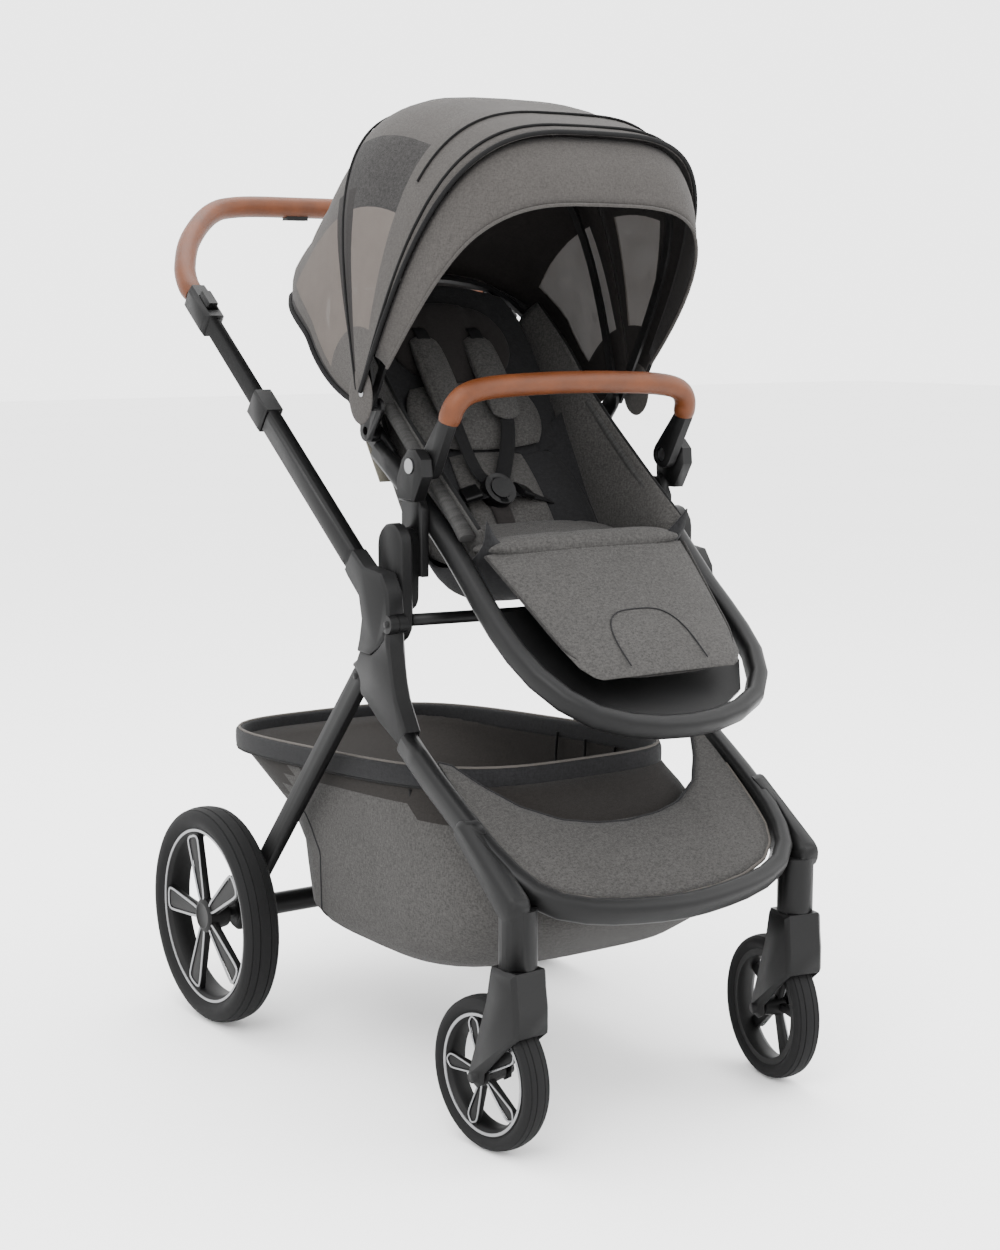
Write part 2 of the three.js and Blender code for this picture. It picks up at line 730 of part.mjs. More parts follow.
/** a shell from stacked rounded rectangles, open at the top: a lathe whose rings are stretched to their outlines */
function stackedShell(rings, wall, sides) {
  const rows = [
    [0, rings[0], 0],
    ...rings.map((ring) => [1, ring, 0]),
    ...rings
      .slice(1)
      .reverse()
      .map((ring) => [1, ring, wall]),
    [0, rings[1], wall],
  ];
  const profile = rows.map(([reach], row) => new THREE.Vector2(reach, row));
  profile[0].x = 0;
  const lathe = new THREE.LatheGeometry(profile, sides);
  const position = lathe.attributes.position;
  for (let i = 0; i < position.count; i++) {
    const row = Math.round(position.getY(i));
    const [, [height, front, rear, half, rise], inset] = rows[row];
    const reach = Math.hypot(position.getX(i), position.getZ(i));
    const turn = Math.atan2(position.getX(i), position.getZ(i));
    const far = reach * roundedReach(turn);
    const lift = inset > 0 && row < rows.length - 1 && height === rings[rings.length - 1][0] ? 0 : inset;
    const x = far * Math.cos(turn) * (half - inset);
    const y = (front + rear) / 2 + (far * Math.sin(turn) * (rear - front - 2 * inset)) / 2;
    const tilt = rise * ((front + rear) / 2 - y);
    position.setXYZ(i, x, y, height + lift * 0.2 + tilt);
  }
  return lathe;
}
const basketShell = solid(stackedShell(basketRings, basketWall, basketSides));
piece("storage_basket", basketShell, fabricGrey);

const [rimHeight, rimFront, rimRear, rimHalf, rimRise] = basketRings[basketRings.length - 1];
const rimThick = 7;
const rimLatheRadius = 100; // the lathe is stretched to the basket's outline afterwards
const rimProfile = ovalSection(rimThick, rimThick, 6).getPoints();
const rimLathe = new THREE.LatheGeometry([...rimProfile, rimProfile[0]].map((p) => p.clone().setX(p.x + rimLatheRadius)), 36);
const rimPosition = rimLathe.attributes.position;
for (let i = 0; i < rimPosition.count; i++) {
  const turn = Math.atan2(rimPosition.getX(i), rimPosition.getZ(i));
  const out = Math.hypot(rimPosition.getX(i), rimPosition.getZ(i)) - rimLatheRadius - 2;
  const far = roundedReach(turn);
  const sideways = far * Math.cos(turn) * (rimHalf + out);
  const lengthways = far * Math.sin(turn) * ((rimRear - rimFront) / 2 + out);
  const up = rimHeight + rimThick + 1.5 + rimPosition.getY(i) - rimRise * lengthways;
  rimPosition.setXYZ(i, sideways, (rimFront + rimRear) / 2 + lengthways, up);
}
piece("basket_rim", rimLathe, fabricDark);

const frontPlane = { y: -92, z: 274 };
const frontPlaneSlope = 33.6;
const panelHalf = [
  [0, 14],
  [52, 17],
  [102, 26],
  [146, 43],
  [174, 68],
  [188, 100],
  [194, 150],
  [198, 210],
  [198, 268],
  [182, 262],
  [160, 222],
  [130, 182],
  [90, 154],
  [45, 140],
  [0, 136],
];
piece(
  "basket_front_panel",
  slopePlate(wholeOutline(panelHalf), frontPlane, frontPlaneSlope, 0, 6),
  fabricGrey,
);

// ---- seat frame -----------------------------------------------------------------------------------------------
const railTop = { y: 322, z: 795 };
const railSlope = 37.2;
const onRail = (x, s, h) => [x, ...along(railTop, railSlope, s, h)];
const railHalf = [
  onRail(seatHalfWidth, -19, 0),
  onRail(seatHalfWidth, -65, 5),
  onRail(seatHalfWidth, -175, 11),
  onRail(seatHalfWidth, -228, 10),
  onRail(seatHalfWidth, -300, 4),
  onRail(seatHalfWidth, -370, 3),
  onRail(seatHalfWidth - 10, -428, 4),
  onRail(seatHalfWidth - 42, -481, 4),
  onRail(seatHalfWidth - 94, -508, 4),
  onRail(0, -518, 4),
];
const railSteps = 30;
const railSection = (grow) => roundedSection(seatTubeThick + 2 * grow, seatTubeDepth + 2 * grow, 7, 1);

const adapterOutline = [
  [mountMiddle - 22, 640],
  [mountMiddle + 18, 640],
  [mountMiddle + 22, 660],
  [mountMiddle + 22, 742],
  [mountMiddle - 10, 742],
  [mountMiddle - 22, 720],
];
const railOuter = seatHalfWidth + seatTubeThick / 2;
const mountPlug = plate(adapterOutline, railOuter + GAP, bumperX - GAP, 2);

const reclineHinge = { y: 316, z: 806 };
const hingeHousing = (sign) =>
  union(
    solid(
      plate(
        barOutline(railTop, railSlope, -40, 34, seatTubeDepth + 4, 1),
        sign > 0 ? seatHalfWidth - 11 : GAP - seatHalfWidth,
        sign > 0 ? seatHalfWidth - GAP : 11 - seatHalfWidth,
        2,
      ),
    ),
    solid(
      rodX(
        reclineHinge.y,
        reclineHinge.z,
        5,
        sign > 0 ? seatHalfWidth - 8 : -seatHalfWidth - 10,
        sign > 0 ? seatHalfWidth + 10 : 8 - seatHalfWidth,
        16,
      ),
    ),
  );
piece(
  "seat_frame",
  union(solid(sweep(railSection(0), mirroredPath(railHalf), railSteps)), hingeHousing(1), hingeHousing(-1)),
  frameBlack,
);

const trayHalf = [
  [0, -501],
  [68, -493],
  [112, -469],
  [140, -424],
  [150, -366],
  [150, -310],
  [0, -310],
];
const tray = cut(
  solid(slopePlate(wholeOutline(trayHalf), railTop, railSlope, -8, -2)),
  solid(sweep(railSection(GAP), mirroredPath(railHalf), railSteps)),
);
piece("footrest_tray", tray, plasticBlack);

// ---- seat fabric, pads and harness ----------------------------------------------------------------------------
const bucketHalf = seatHalfWidth - seatTubeThick / 2 - 3;
const bucketWall = 8;
const bucketOutline = [
  [118, 692],
  [111, 640],
  [150, 612],
  [236, 606],
  [298, 690],
  [318, 738],
  [302, 772],
  [250, 772],
];
const bucketHollow = [
  [124, 720],
  [121, 644],
  [155, 621],
  [232, 615],
  [290, 694],
  [310, 742],
  [330, 800],
  [250, 820],
];
const bucket = cut(
  solid(plate(bucketOutline, -bucketHalf, bucketHalf)),
  solid(plate(bucketHollow, -bucketHalf + bucketWall, bucketHalf - bucketWall)),
);
piece("seat_bucket", bucket, fabricDark);
const padHalf = bucketHalf - bucketWall - 3;
const seatPadOutline = [
  [126, 691],
  [124, 646],
  [157, 623],
  [231, 617],
  [262, 660],
  [250, 670],
  [222, 676],
  [186, 694],
];
piece("seat_pad", plate(seatPadOutline, -padHalf, padHalf), fabricGrey);

const backFoot = { y: 337, z: 775 };
const backSlope = 56;
const backPanelHalf = 138;
piece(
  "back_pad",
  union(
    solid(plate(barOutline(backFoot, backSlope, 0, 215, 10, -6), -backPanelHalf, backPanelHalf)),
    solid(plate(barOutline(backFoot, backSlope, 6, 212, 16, 6), -124, 124, 4)),
  ),
  fabricDark,
);
const padStrip = (from, to) => solid(plate(barOutline(backFoot, backSlope, 20, 150, 12, 22), from, to, 3));
const padYoke = solid(plate(barOutline(backFoot, backSlope, 132, 146, 6, 20), -40, 40));
piece("shoulder_pads", union(padStrip(26, 74), padStrip(-74, -26), padYoke), fabricGrey);
const hoopRadius = 6;
const hoopX = seatHalfWidth + hoopRadius + RUN;
const hoopHalf = [
  [hoopX, ...along(reclineHinge, 40, 8)],
  [hoopX, ...along(reclineHinge, 40, 70)],
  [hoopX - 4, 420, 903],
  [158, 462, 946],
  [135, 487, 974],
  [92, 500, 990],
  [0, 505, 996],
];
const canopyPivot = { y: 290, z: 835 };
const canopyArm = capsule(reclineHinge, canopyPivot, 13, 12);
const canopyMount = union(
  solid(plate(canopyArm, 176, 181)),
  solid(rodX(canopyPivot.y, canopyPivot.z, 4, 177, 192, 16)),
);
const hoopEar = union(
  canopyMount,
  canopyMount.mirror([1, 0, 0]),
  solid(rodX(reclineHinge.y, reclineHinge.z, 14, seatHalfWidth + GAP, seatHalfWidth + 11)),
  solid(sweep(ovalSection(hoopRadius, hoopRadius, 6), mirroredPath(hoopHalf), 24)),
  solid(rodX(reclineHinge.y, reclineHinge.z, 14, -seatHalfWidth - 11, -seatHalfWidth - GAP)),
);
const hoop = cut(
  hoopEar,
  solid(rodX(reclineHinge.y, reclineHinge.z, 5 + GAP, -300, 300, 16)),
);
piece("backrest_frame", hoop, frameBlack);

const buckleAt = { y: 264, z: 728 };
const buckleTilt = backSlope + 90; // the buckle faces away from the back
const [buckleY, buckleZ] = [buckleAt.y, buckleAt.z];
const buckleX = -20; // the straps hang a little to the right
function buckleDisc(radius, from, to, sides = 20) {
  return new THREE.CylinderGeometry(radius, radius, to - from, sides)
    .translate(0, (from + to) / 2, 0)
    .rotateX(rad(buckleTilt))
    .translate(buckleX, buckleY, buckleZ);
}
const buckleOut = 8;
const buckle = cut(
  union(
    solid(buckleDisc(22, -buckleOut, buckleOut)),
    solid(
      plate(
        [
          [247, 674],
          [251, 674],
          [268, 722],
          [264, 724],
        ],
        buckleX - 12,
        buckleX + 12,
      ),
    ),
  ),
  solid(buckleDisc(14 + RUN, 3, 20)),
);
piece("harness_buckle", buckle, plasticBlack);
piece("buckle_button", buckleDisc(14, 5.5, 9.5), plasticBlack);

const calfHinge = { y: 104, z: 668 };
const calfSlope = 38.5;
const calfLength = 206;
const calfHalf = [
  [0, -calfLength],
  [94, -calfLength + 2],
  [114, -calfLength + 14],
  [123, -calfLength + 46],
  [134, -60],
  [142, 0],
  [0, 0],
];
piece("calf_rest", slopePlate(wholeOutline(calfHalf), calfHinge, calfSlope, -8, 6, 2), fabricGrey);

// ---- bumper bar -----------------------------------------------------------------------------------------------
const bumperPivot = { y: 176, z: 772 };
const socketOutline = [
  [bumperPivot.y - 4, bumperPivot.z - 42],
  [bumperPivot.y + 30, bumperPivot.z - 42],
  [bumperPivot.y + 32, bumperPivot.z - 16],
  [bumperPivot.y + 20, bumperPivot.z + 8],
  [bumperPivot.y + 8, bumperPivot.z + 19],
  [bumperPivot.y - 8, bumperPivot.z + 19],
  [bumperPivot.y - 20, bumperPivot.z + 8],
  [bumperPivot.y - 22, bumperPivot.z - 12],
];
const buttonRadius = 9;
const bumperSocket = cut(
  solid(plate(socketOutline, bumperX - 5, bumperX + 15, 3)),
  solid(rodX(bumperPivot.y, bumperPivot.z, buttonRadius + RUN, 0, 300, 20)),
);
pair("rail_bracket", union(solid(mountPlug), bumperSocket), plasticBlack);
const armTip = { y: 140, z: 822 };
const armOuter = bumperX - 5 - RUN;
const armInner = armOuter - 17;
const bumperArm = (from, to, grow) => plate(capsule(bumperPivot, armTip, 17 + grow, 11 + grow), from, to, 3);
const bumperArmSolid = cut(
  solid(bumperArm(armInner, armOuter, 0)),
  solid(rodX(bumperPivot.y, bumperPivot.z, buttonRadius + RUN, 0, 300, 20)),
);
pair("bumper_arm", bumperArmSolid, plasticBlack);
pair("bumper_button", rodX(bumperPivot.y, bumperPivot.z, buttonRadius, armInner + 4, bumperX + 17, 20), steel);
const bumperHalf = [
  [bumperX - 15, 139, 823],
  [bumperX - 19, 132, 842],
  [bumperX - 34, 128, 856],
  [bumperX - 68, 127, 863],
  [60, 128, 866],
  [0, 128, 867],
];
const bumperSweep = solid(sweep(ovalSection(bumperGripRadius, bumperGripRadius, 8), mirroredPath(bumperHalf), 24));
const armShadow = solid(bumperArm(armInner - GAP, armOuter + GAP, GAP));
piece("bumper_bar", cut(bumperSweep, armShadow, armShadow.mirror([1, 0, 0])), leatherTan);

// ---- canopy ---------------------------------------------------------------------------------------------------
const canopyRadius = 370;
const canopySquare = 3.1;

/** the canopy's arch as [x, radius], from +x over the top to -x, starting at a foot radius */
function arch(halfX, reach, foot, steps) {
  const start = Math.asin((foot / reach) ** (canopySquare / 2));
  const points = [];
  for (let i = 0; i <= steps; i++) {
    const turn = start + ((Math.PI - 2 * start) * i) / steps;
    const across = Math.abs(Math.cos(turn)) ** (2 / canopySquare);
    points.push([Math.sign(Math.cos(turn)) * across * halfX, Math.sin(turn) ** (2 / canopySquare) * reach]);
  }
  return points;
}

/** a hood wall of revolution about the canopy pivot, between two angles in the side plane */
function hood({ grow, thick, from, to, foot = 26 }) {
  const steps = 12;
  const outer = arch(canopyHalfWidth + grow, canopyRadius + grow, foot, steps);
  const inner = arch(canopyHalfWidth + grow - thick, canopyRadius + grow - thick, foot, steps).reverse();
  const shell = solid(turnedX([...outer, ...inner, outer[0]], 0, canopyPivot.y, canopyPivot.z, 40));
  const wedge = [[canopyPivot.y, canopyPivot.z]];
  const spread = 5;
  for (let i = 0; i <= spread; i++) {
    const turn = rad(from + ((to - from) * i) / spread);
    wedge.push([canopyPivot.y + 520 * Math.cos(turn), canopyPivot.z + 520 * Math.sin(turn)]);
  }
  return shell.intersect(solid(plate(wedge, -300, 300)));
}
piece("canopy_rear_panel", hood({ grow: 0, thick: 3, from: 34, to: 78 }), fabricCanopy);
piece("canopy_front_panel", hood({ grow: 6, thick: 3, from: 75, to: 123 }), fabricCanopy);
piece("canopy_visor", hood({ grow: -28, thick: 3, from: 117, to: 138, foot: 90 }), fabricCanopy);

/** a flat bow in a plane through the pivot, at an angle in the side plane */
function bow(degrees, tipX, reach, width) {
  const points = [[tipX, 0], ...arch(tipX, reach, 120, 10), [-tipX, 0]];
  const path = points.map(([x, r]) => [x, ...along(canopyPivot, degrees, r)]);
  return solid(sweep(flatSection(4, width), path, 30));
}
const canopyBore = solid(rodX(canopyPivot.y, canopyPivot.z, 4 + GAP, -300, 300, 16));
piece("canopy_mid_bow", cut(bow(76, 184, 350, 12), canopyBore), plasticBlack);
piece("canopy_front_bow", cut(bow(121, 189, 358, 12), canopyBore), plasticBlack);

const box = new THREE.Box3().setFromObject(stroller);
stroller.position.y = -(box.min.y + box.max.y) / 2;

export default stroller;
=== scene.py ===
"""A folding baby stroller, sewn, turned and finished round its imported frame."""
import json
import math

import bmesh
import bpy
from mathutils import Matrix, Vector, noise


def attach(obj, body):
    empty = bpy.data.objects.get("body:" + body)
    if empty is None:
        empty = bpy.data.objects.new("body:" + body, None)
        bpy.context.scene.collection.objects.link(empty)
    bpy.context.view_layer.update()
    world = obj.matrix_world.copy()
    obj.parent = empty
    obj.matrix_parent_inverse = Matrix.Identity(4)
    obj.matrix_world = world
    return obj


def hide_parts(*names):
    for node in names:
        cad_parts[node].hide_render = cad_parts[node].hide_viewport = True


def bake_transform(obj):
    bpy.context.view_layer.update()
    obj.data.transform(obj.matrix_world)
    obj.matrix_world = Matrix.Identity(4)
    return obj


bl_info = {
    "name": "Baby stroller",
    "version": (1, 0, 0),
    "blender": (4, 5, 0),
    "location": "3D View > Sidebar > Stroller",
    "description": "Builds the fabric, leather, wheels and trim of a folding baby stroller on its frame",
    "category": "Add Mesh",
}

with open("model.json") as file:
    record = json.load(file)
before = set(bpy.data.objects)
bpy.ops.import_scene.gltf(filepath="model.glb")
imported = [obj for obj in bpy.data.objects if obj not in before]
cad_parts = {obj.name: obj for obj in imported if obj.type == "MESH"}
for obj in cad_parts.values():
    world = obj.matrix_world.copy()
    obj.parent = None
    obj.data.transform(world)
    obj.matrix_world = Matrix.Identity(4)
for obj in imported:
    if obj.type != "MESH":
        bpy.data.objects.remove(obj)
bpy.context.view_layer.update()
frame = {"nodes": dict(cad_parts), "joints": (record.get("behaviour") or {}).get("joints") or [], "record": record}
MM = 0.001
JOINTS = {joint["name"]: joint for joint in frame["joints"]}
SHIFT = JOINTS["recline"]["pos_m"][1] - 0.316  # front axle line to the middle of the object's box
MERGE = 0.00002  # metres within which two corners are one
FLOOR_WIDTH = 40  # metres
STUDIO_STRENGTH = 3.5  # brightness of the white surround
HOOD = (283, 838)  # the canopy's turning line, as (y, z) from the front axle line


# ---- places and meshes --------------------------------------------------------------------------------------
def at(x, y, z):
    """A point in the frame, from millimetres measured from the front axle line."""
    return Vector((x * MM, y * MM + SHIFT, z * MM))


def polar(x, degrees, reach, centre=HOOD):
    """A point at an angle above the +Y direction and a reach from a line across the object."""
    turn = math.radians(degrees)
    return at(x, centre[0] + reach * math.cos(turn), centre[1] + reach * math.sin(turn))


def lerp(a, b, share):
    """The value a share of the way from a to b."""
    return a + (b - a) * share


def table(rows, key):
    """The values in rows of (key, value...) at key, in straight lines between rows."""
    for low, high in zip(rows, rows[1:]):
        if key <= high[0]:
            share = max(0.0, (key - low[0]) / (high[0] - low[0]))
            return [lerp(a, b, share) for a, b in zip(low[1:], high[1:])]
    return list(rows[-1][1:])


def curve_through(points, steps, closed=False):
    """Points evenly spaced on a smooth curve through the given ones."""
    points = [Vector(p) for p in points]
    last = len(points)
    pick = (lambda i: points[i % last]) if closed else (lambda i: points[min(max(i, 0), last - 1)])
    dense = []
    spans = last if closed else last - 1
    for i in range(spans):
        p0, p1, p2, p3 = pick(i - 1), pick(i), pick(i + 1), pick(i + 2)
        for k in range(16):
            t = k / 16
            dense.append(
                0.5 * (2 * p1 + (p2 - p0) * t + (2 * p0 - 5 * p1 + 4 * p2 - p3) * t * t
                    + (3 * p1 - p0 - 3 * p2 + p3) * t**3)
            )
    dense.append(pick(spans).copy())
    lengths = [0.0]
    for a, b in zip(dense, dense[1:]):
        lengths.append(lengths[-1] + (b - a).length)
    out, k = [], 0
    for i in range(steps if closed else steps + 1):
        want = lengths[-1] * i / steps
        while k < len(dense) - 2 and lengths[k + 1] < want:
            k += 1
        share = (want - lengths[k]) / max(1e-9, lengths[k + 1] - lengths[k])
        out.append(dense[k].lerp(dense[k + 1], share))
    return out


def new_object(name, points, faces, smooth=True):
    mesh = bpy.data.meshes.new(name)
    mesh.from_pydata([tuple(p) for p in points], [], faces)
    mesh.update()
    obj = bpy.data.objects.new(name, mesh)
    bpy.context.scene.collection.objects.link(obj)
    for face in mesh.polygons:
        face.use_smooth = smooth
    return obj


def grid(name, rows, closed=False, looped=False, pick=None):
    """A surface through rows of points, with a UV map in metres; closed joins each row's ends, looped joins the rows."""
    count, total = len(rows[0]), len(rows)
    faces, picks = [], []
    for i in range(total if looped else total - 1):
        below = (i + 1) % total
        for j in range(count if closed else count - 1):
            after = (j + 1) % count
            faces.append((i * count + j, i * count + after, below * count + after, below * count + j))
            picks.append(pick(i, j) if pick else 0)
    obj = new_object(name, [p for row in rows for p in row], faces)
    for face, index in zip(obj.data.polygons, picks):
        face.material_index = index
    along = [[0.0] for _ in rows]
    for row, lengths in zip(rows, along):
        for a, b in zip(row, row[1:]):
            lengths.append(lengths[-1] + (b - a).length)
    down = [0.0]
    for a, b in zip(rows, rows[1:]):
        down.append(down[-1] + sum((p - q).length for p, q in zip(a, b)) / count)
    layer = obj.data.uv_layers.new(name="UVMap")
    for loop in obj.data.loops:
        i, j = divmod(loop.vertex_index, count)
        layer.data[loop.index].uv = (along[i][j], down[i])
    return obj


def active(obj):
    """Selects one object alone and makes it the active one."""
    bpy.ops.object.select_all(action="DESELECT")
    obj.select_set(True)
    bpy.context.view_layer.objects.active = obj
    return obj


def apply(obj, kind, **settings):
    """Adds a modifier with its settings and applies it."""
    active(obj)
    modifier = obj.modifiers.new(kind.title(), kind)
    for key, value in settings.items():
        setattr(modifier, key, value)
    bpy.ops.object.modifier_apply(modifier=modifier.name)
    return obj


def thicken(obj, thickness, side=-1, inner=0):
    """Gives a sheet its thickness; side 1 grows it outwards and inner is added to the inside's material index."""
    return apply(
        obj, "SOLIDIFY", thickness=thickness * MM, offset=side, material_offset=inner, use_even_offset=True,
        use_quality_normals=True
    )


def face_out(obj, centre):
    """Turns an open sheet so that its faces look away from a point inside."""
    mesh = bmesh.new()
    mesh.from_mesh(obj.data)
    if sum((face.calc_center_median() - centre).dot(face.normal) * face.calc_area()
        for face in mesh.faces) < 0:
        bmesh.ops.reverse_faces(mesh, faces=mesh.faces)
    mesh.to_mesh(obj.data)
    mesh.free()
    return obj


def smooth_by(obj, degrees):
    """Smooths faces that meet at less than an angle and keeps sharper edges."""
    active(obj)
    bpy.ops.object.shade_smooth_by_angle(angle=math.radians(degrees))
    return obj


def outward(obj, merge=MERGE):
    """Merges doubles and turns every face outwards on a closed form."""
    active(obj)
    bpy.ops.object.mode_set(mode="EDIT")
    bpy.ops.mesh.select_all(action="SELECT")
    bpy.ops.mesh.remove_doubles(threshold=merge)
    bpy.ops.mesh.normals_make_consistent(inside=False)
    bpy.ops.object.mode_set(mode="OBJECT")
    return obj


def sweep(name, path, section, closed=False, up=(0, 0, 1), scale=None):
    """A section of (across, above) millimetres carried along a path of points."""
    up = Vector(up)
    rows = []
    total = len(path)
    for i, point in enumerate(path):
        ahead = path[(i + 1) % total] if closed or i < total - 1 else point
        behind = path[i - 1] if closed or i > 0 else point
        way = (ahead - behind).normalized()
        across = way.cross(up)
        if across.length < 1e-4:
            across = way.cross(Vector((0, 1, 0)))
        across.normalize()
        above = across.cross(way)
        k = scale(i / (total - 1)) if scale else 1
        rows.append([point + (across * a + above * b) * (MM * k) for a, b in section])
    obj = grid(name, rows, closed=True, looped=closed)
    if not closed:
        count = len(section)
        mesh = bmesh.new()
        mesh.from_mesh(obj.data)
        mesh.verts.ensure_lookup_table()
        mesh.faces.new([mesh.verts[j] for j in reversed(range(count))])
        mesh.faces.new([mesh.verts[(total - 1) * count + j] for j in range(count)])
        bmesh.ops.recalc_face_normals(mesh, faces=mesh.faces)
        mesh.to_mesh(obj.data)
        mesh.free()
        smooth_by(obj, 50)
    else:
        outward(obj)
    return obj


def circle(radius, sides=12, flat=1.0):
    return [
        (radius * math.cos(2 * math.pi * k / sides), radius * flat * math.sin(2 * math.pi * k / sides))
        for k in range(sides)
    ]


def squircle(half_width, half_height, power=4, sides=24):
    """A rounded rectangle as points about its middle."""
    out = []
    for k in range(sides):
        turn = 2 * math.pi * k / sides
        c, s = math.cos(turn), math.sin(turn)
        out.append(
            (
                half_width * math.copysign(abs(c) ** (2 / power), c),
                half_height * math.copysign(abs(s) ** (2 / power), s),
            )
        )
    return out


def spun(name, profile, centre, axis=(1, 0, 0), steps=64):
    """A turned piece: profile is (along the axis, radius) millimetres; it is drawn point by point and spun."""
    axis = Vector(axis).normalized()
    side = axis.orthogonal().normalized()
    bpy.ops.object.select_all(action="DESELECT")
    bpy.ops.mesh.primitive_plane_add(size=0.01, location=centre)
    obj = bpy.context.active_object
    obj.name = obj.data.name = name
    bpy.ops.object.transform_apply(location=True, rotation=True, scale=True)
    points = [centre + axis * (along * MM) + side * (radius * MM) for along, radius in profile]
    bpy.ops.object.mode_set(mode="EDIT")
    mesh = bmesh.from_edit_mesh(obj.data)
    bmesh.ops.delete(mesh, geom=list(mesh.verts)[1:], context="VERTS")
    mesh.verts.ensure_lookup_table()
    mesh.verts[0].co = points[0]
    mesh.verts[0].select = True
    bmesh.update_edit_mesh(obj.data)
    for before, after in zip(points, points[1:]):
        bpy.ops.mesh.extrude_vertices_move(TRANSFORM_OT_translate={"value": after - before})
    bpy.ops.mesh.select_all(action="SELECT")
    bpy.ops.mesh.spin(steps=steps, angle=2 * math.pi, center=centre, axis=axis)
    bpy.ops.mesh.select_all(action="SELECT")
    bpy.ops.mesh.remove_doubles(threshold=MERGE)
    bpy.ops.mesh.normals_make_consistent(inside=False)
    bpy.ops.object.mode_set(mode="OBJECT")
    return smooth_by(obj, 40)


def joined(name, pieces):
    """One object from several."""
    bpy.ops.object.select_all(action="DESELECT")
    for piece in pieces:
        piece.select_set(True)
    bpy.context.view_layer.objects.active = pieces[0]
    bpy.ops.object.join()
    out = bpy.context.active_object
    out.name = out.data.name = name
    return out


def pillow(name, place, half_u, half_v, top, bottom, corner=0.5, count=(28, 28), extra=None):
    """A closed crowned pad. place(u, v, h) gives a point; top and bottom are heights; extra(u, v) adds to the top."""
    nu, nv = count
    rows = {}
    for side in (1, -1):
        sheet = []
        for i in range(nu + 1):
            row = []
            for j in range(nv + 1):
                a, b = 2 * i / nu - 1, 2 * j / nv - 1
                a, b = math.sin(a * math.pi / 2), math.sin(b * math.pi / 2)
                u = a * math.sqrt(1 - corner * b * b / 2)
                v = b * math.sqrt(1 - corner * a * a / 2)
                edge = (max(0.0, 1 - a**4) * max(0.0, 1 - b**4)) ** 0.5
                height = edge * (top if side > 0 else -bottom)
                if side > 0 and extra:
                    height += extra(u, v) * min(1.0, edge * 3)
                row.append(place(u * half_u, v * half_v, height))
            sheet.append(row)
        rows[side] = grid(name, sheet)
    both = joined(name, [rows[1], rows[-1]])
    return outward(both, 0.00005)


# ---- materials ----------------------------------------------------------------------------------------------
class Val:
    """A socket's value, so that sums on it read as sums."""

    def __init__(self, finish, socket):
        self.finish, self.socket = finish, socket

    def sum(self, operation, first, second=None):
        return self.finish.node("ShaderNodeMath", {"operation": operation}, {0: first, 1: second})

    def __add__(self, other):
        return self.sum("ADD", self, other)

    __radd__ = __add__

    def __sub__(self, other):
        return self.sum("SUBTRACT", self, other)

    def __rsub__(self, other):
        return self.sum("SUBTRACT", other, self)

    def __mul__(self, other):
        return self.sum("MULTIPLY", self, other)

    __rmul__ = __mul__

    def clipped(self, low, high):
        """0 below low, 1 above high, straight between."""
        return self.finish.node("ShaderNodeMapRange", {}, {"Value": self, "From Min": low, "From Max": high})


class Finish:
    """One procedural material: node() adds any node, and the rest are short ways to common ones."""

    def __init__(self, name, roughness=0.6, metallic=0.0, **fixed):
        self.material = bpy.data.materials.new(name)
        self.material.use_nodes = True
        self.tree = self.material.node_tree
        self.shader = self.tree.nodes["Principled BSDF"]
        self.fix("Roughness", roughness)
        self.fix("Metallic", metallic)
        for key, value in fixed.items():
            self.fix(key.replace("_", " "), value)

    def fix(self, name, value):
        if isinstance(value, Val):
            self.tree.links.new(value.socket, self.shader.inputs[name])
        else:
            self.shader.inputs[name].default_value = value

    def node(self, kind, settings, sockets, out=0):
        made = self.tree.nodes.new(kind)
        for key, value in settings.items():
            if key == "stops":
                ramp = made.color_ramp
                while len(ramp.elements) < len(value):
                    ramp.elements.new(0.5)
                for element, (place, shade) in zip(ramp.elements, value):
                    element.position, element.color = place, shade
            else:
                setattr(made, key, value)
        for key, value in sockets.items():
            if value is None:
                continue
            if isinstance(value, Val):
                self.tree.links.new(value.socket, made.inputs[key])
            else:
                made.inputs[key].default_value = value
        return Val(self, made.outputs[out])

    def place(self, scale=(1, 1, 1), turn=(0, 0, 0), source="Object", move=(0, 0, 0)):
        spot = self.node("ShaderNodeTexCoord", {}, {}, source)
        return self.node("ShaderNodeMapping", {},
            {"Vector": spot, "Scale": scale, "Rotation": turn, "Location": move})

    def noise(self, scale, detail=2.0, stretch=(1, 1, 1), turn=(0, 0, 0), source="Object"):
        where = self.place(stretch, turn, source)
        return self.node("ShaderNodeTexNoise", {},
            {"Vector": where, "Scale": scale, "Detail": detail, "Roughness": 0.6})

    def wave(self, scale, direction="X", source="Object", turn=(0, 0, 0), distortion=0.0):
        where = self.place((1, 1, 1), turn, source)
        return self.node(
            "ShaderNodeTexWave",
            {"bands_direction": direction, "wave_profile": "SIN"},
            {"Vector": where, "Scale": scale, "Distortion": distortion},
            1,
        )

    def mix(self, share, first, second):
        made = self.tree.nodes.new("ShaderNodeMix")
        made.data_type = "RGBA"
        self.tree.links.new(share.socket, made.inputs[0])
        for slot, value in ((6, first), (7, second)):
            if isinstance(value, Val):
                self.tree.links.new(value.socket, made.inputs[slot])
            else:
                made.inputs[slot].default_value = value
        return Val(self, made.outputs[2])

    def bump(self, height, strength=0.3, distance=0.001):
        made = self.node("ShaderNodeBump", {}, {"Height": height, "Strength": strength, "Distance": distance})
        self.fix("Normal", made)


TONE = 0.205  # the studio is bright, so every finish is this much deeper than its code


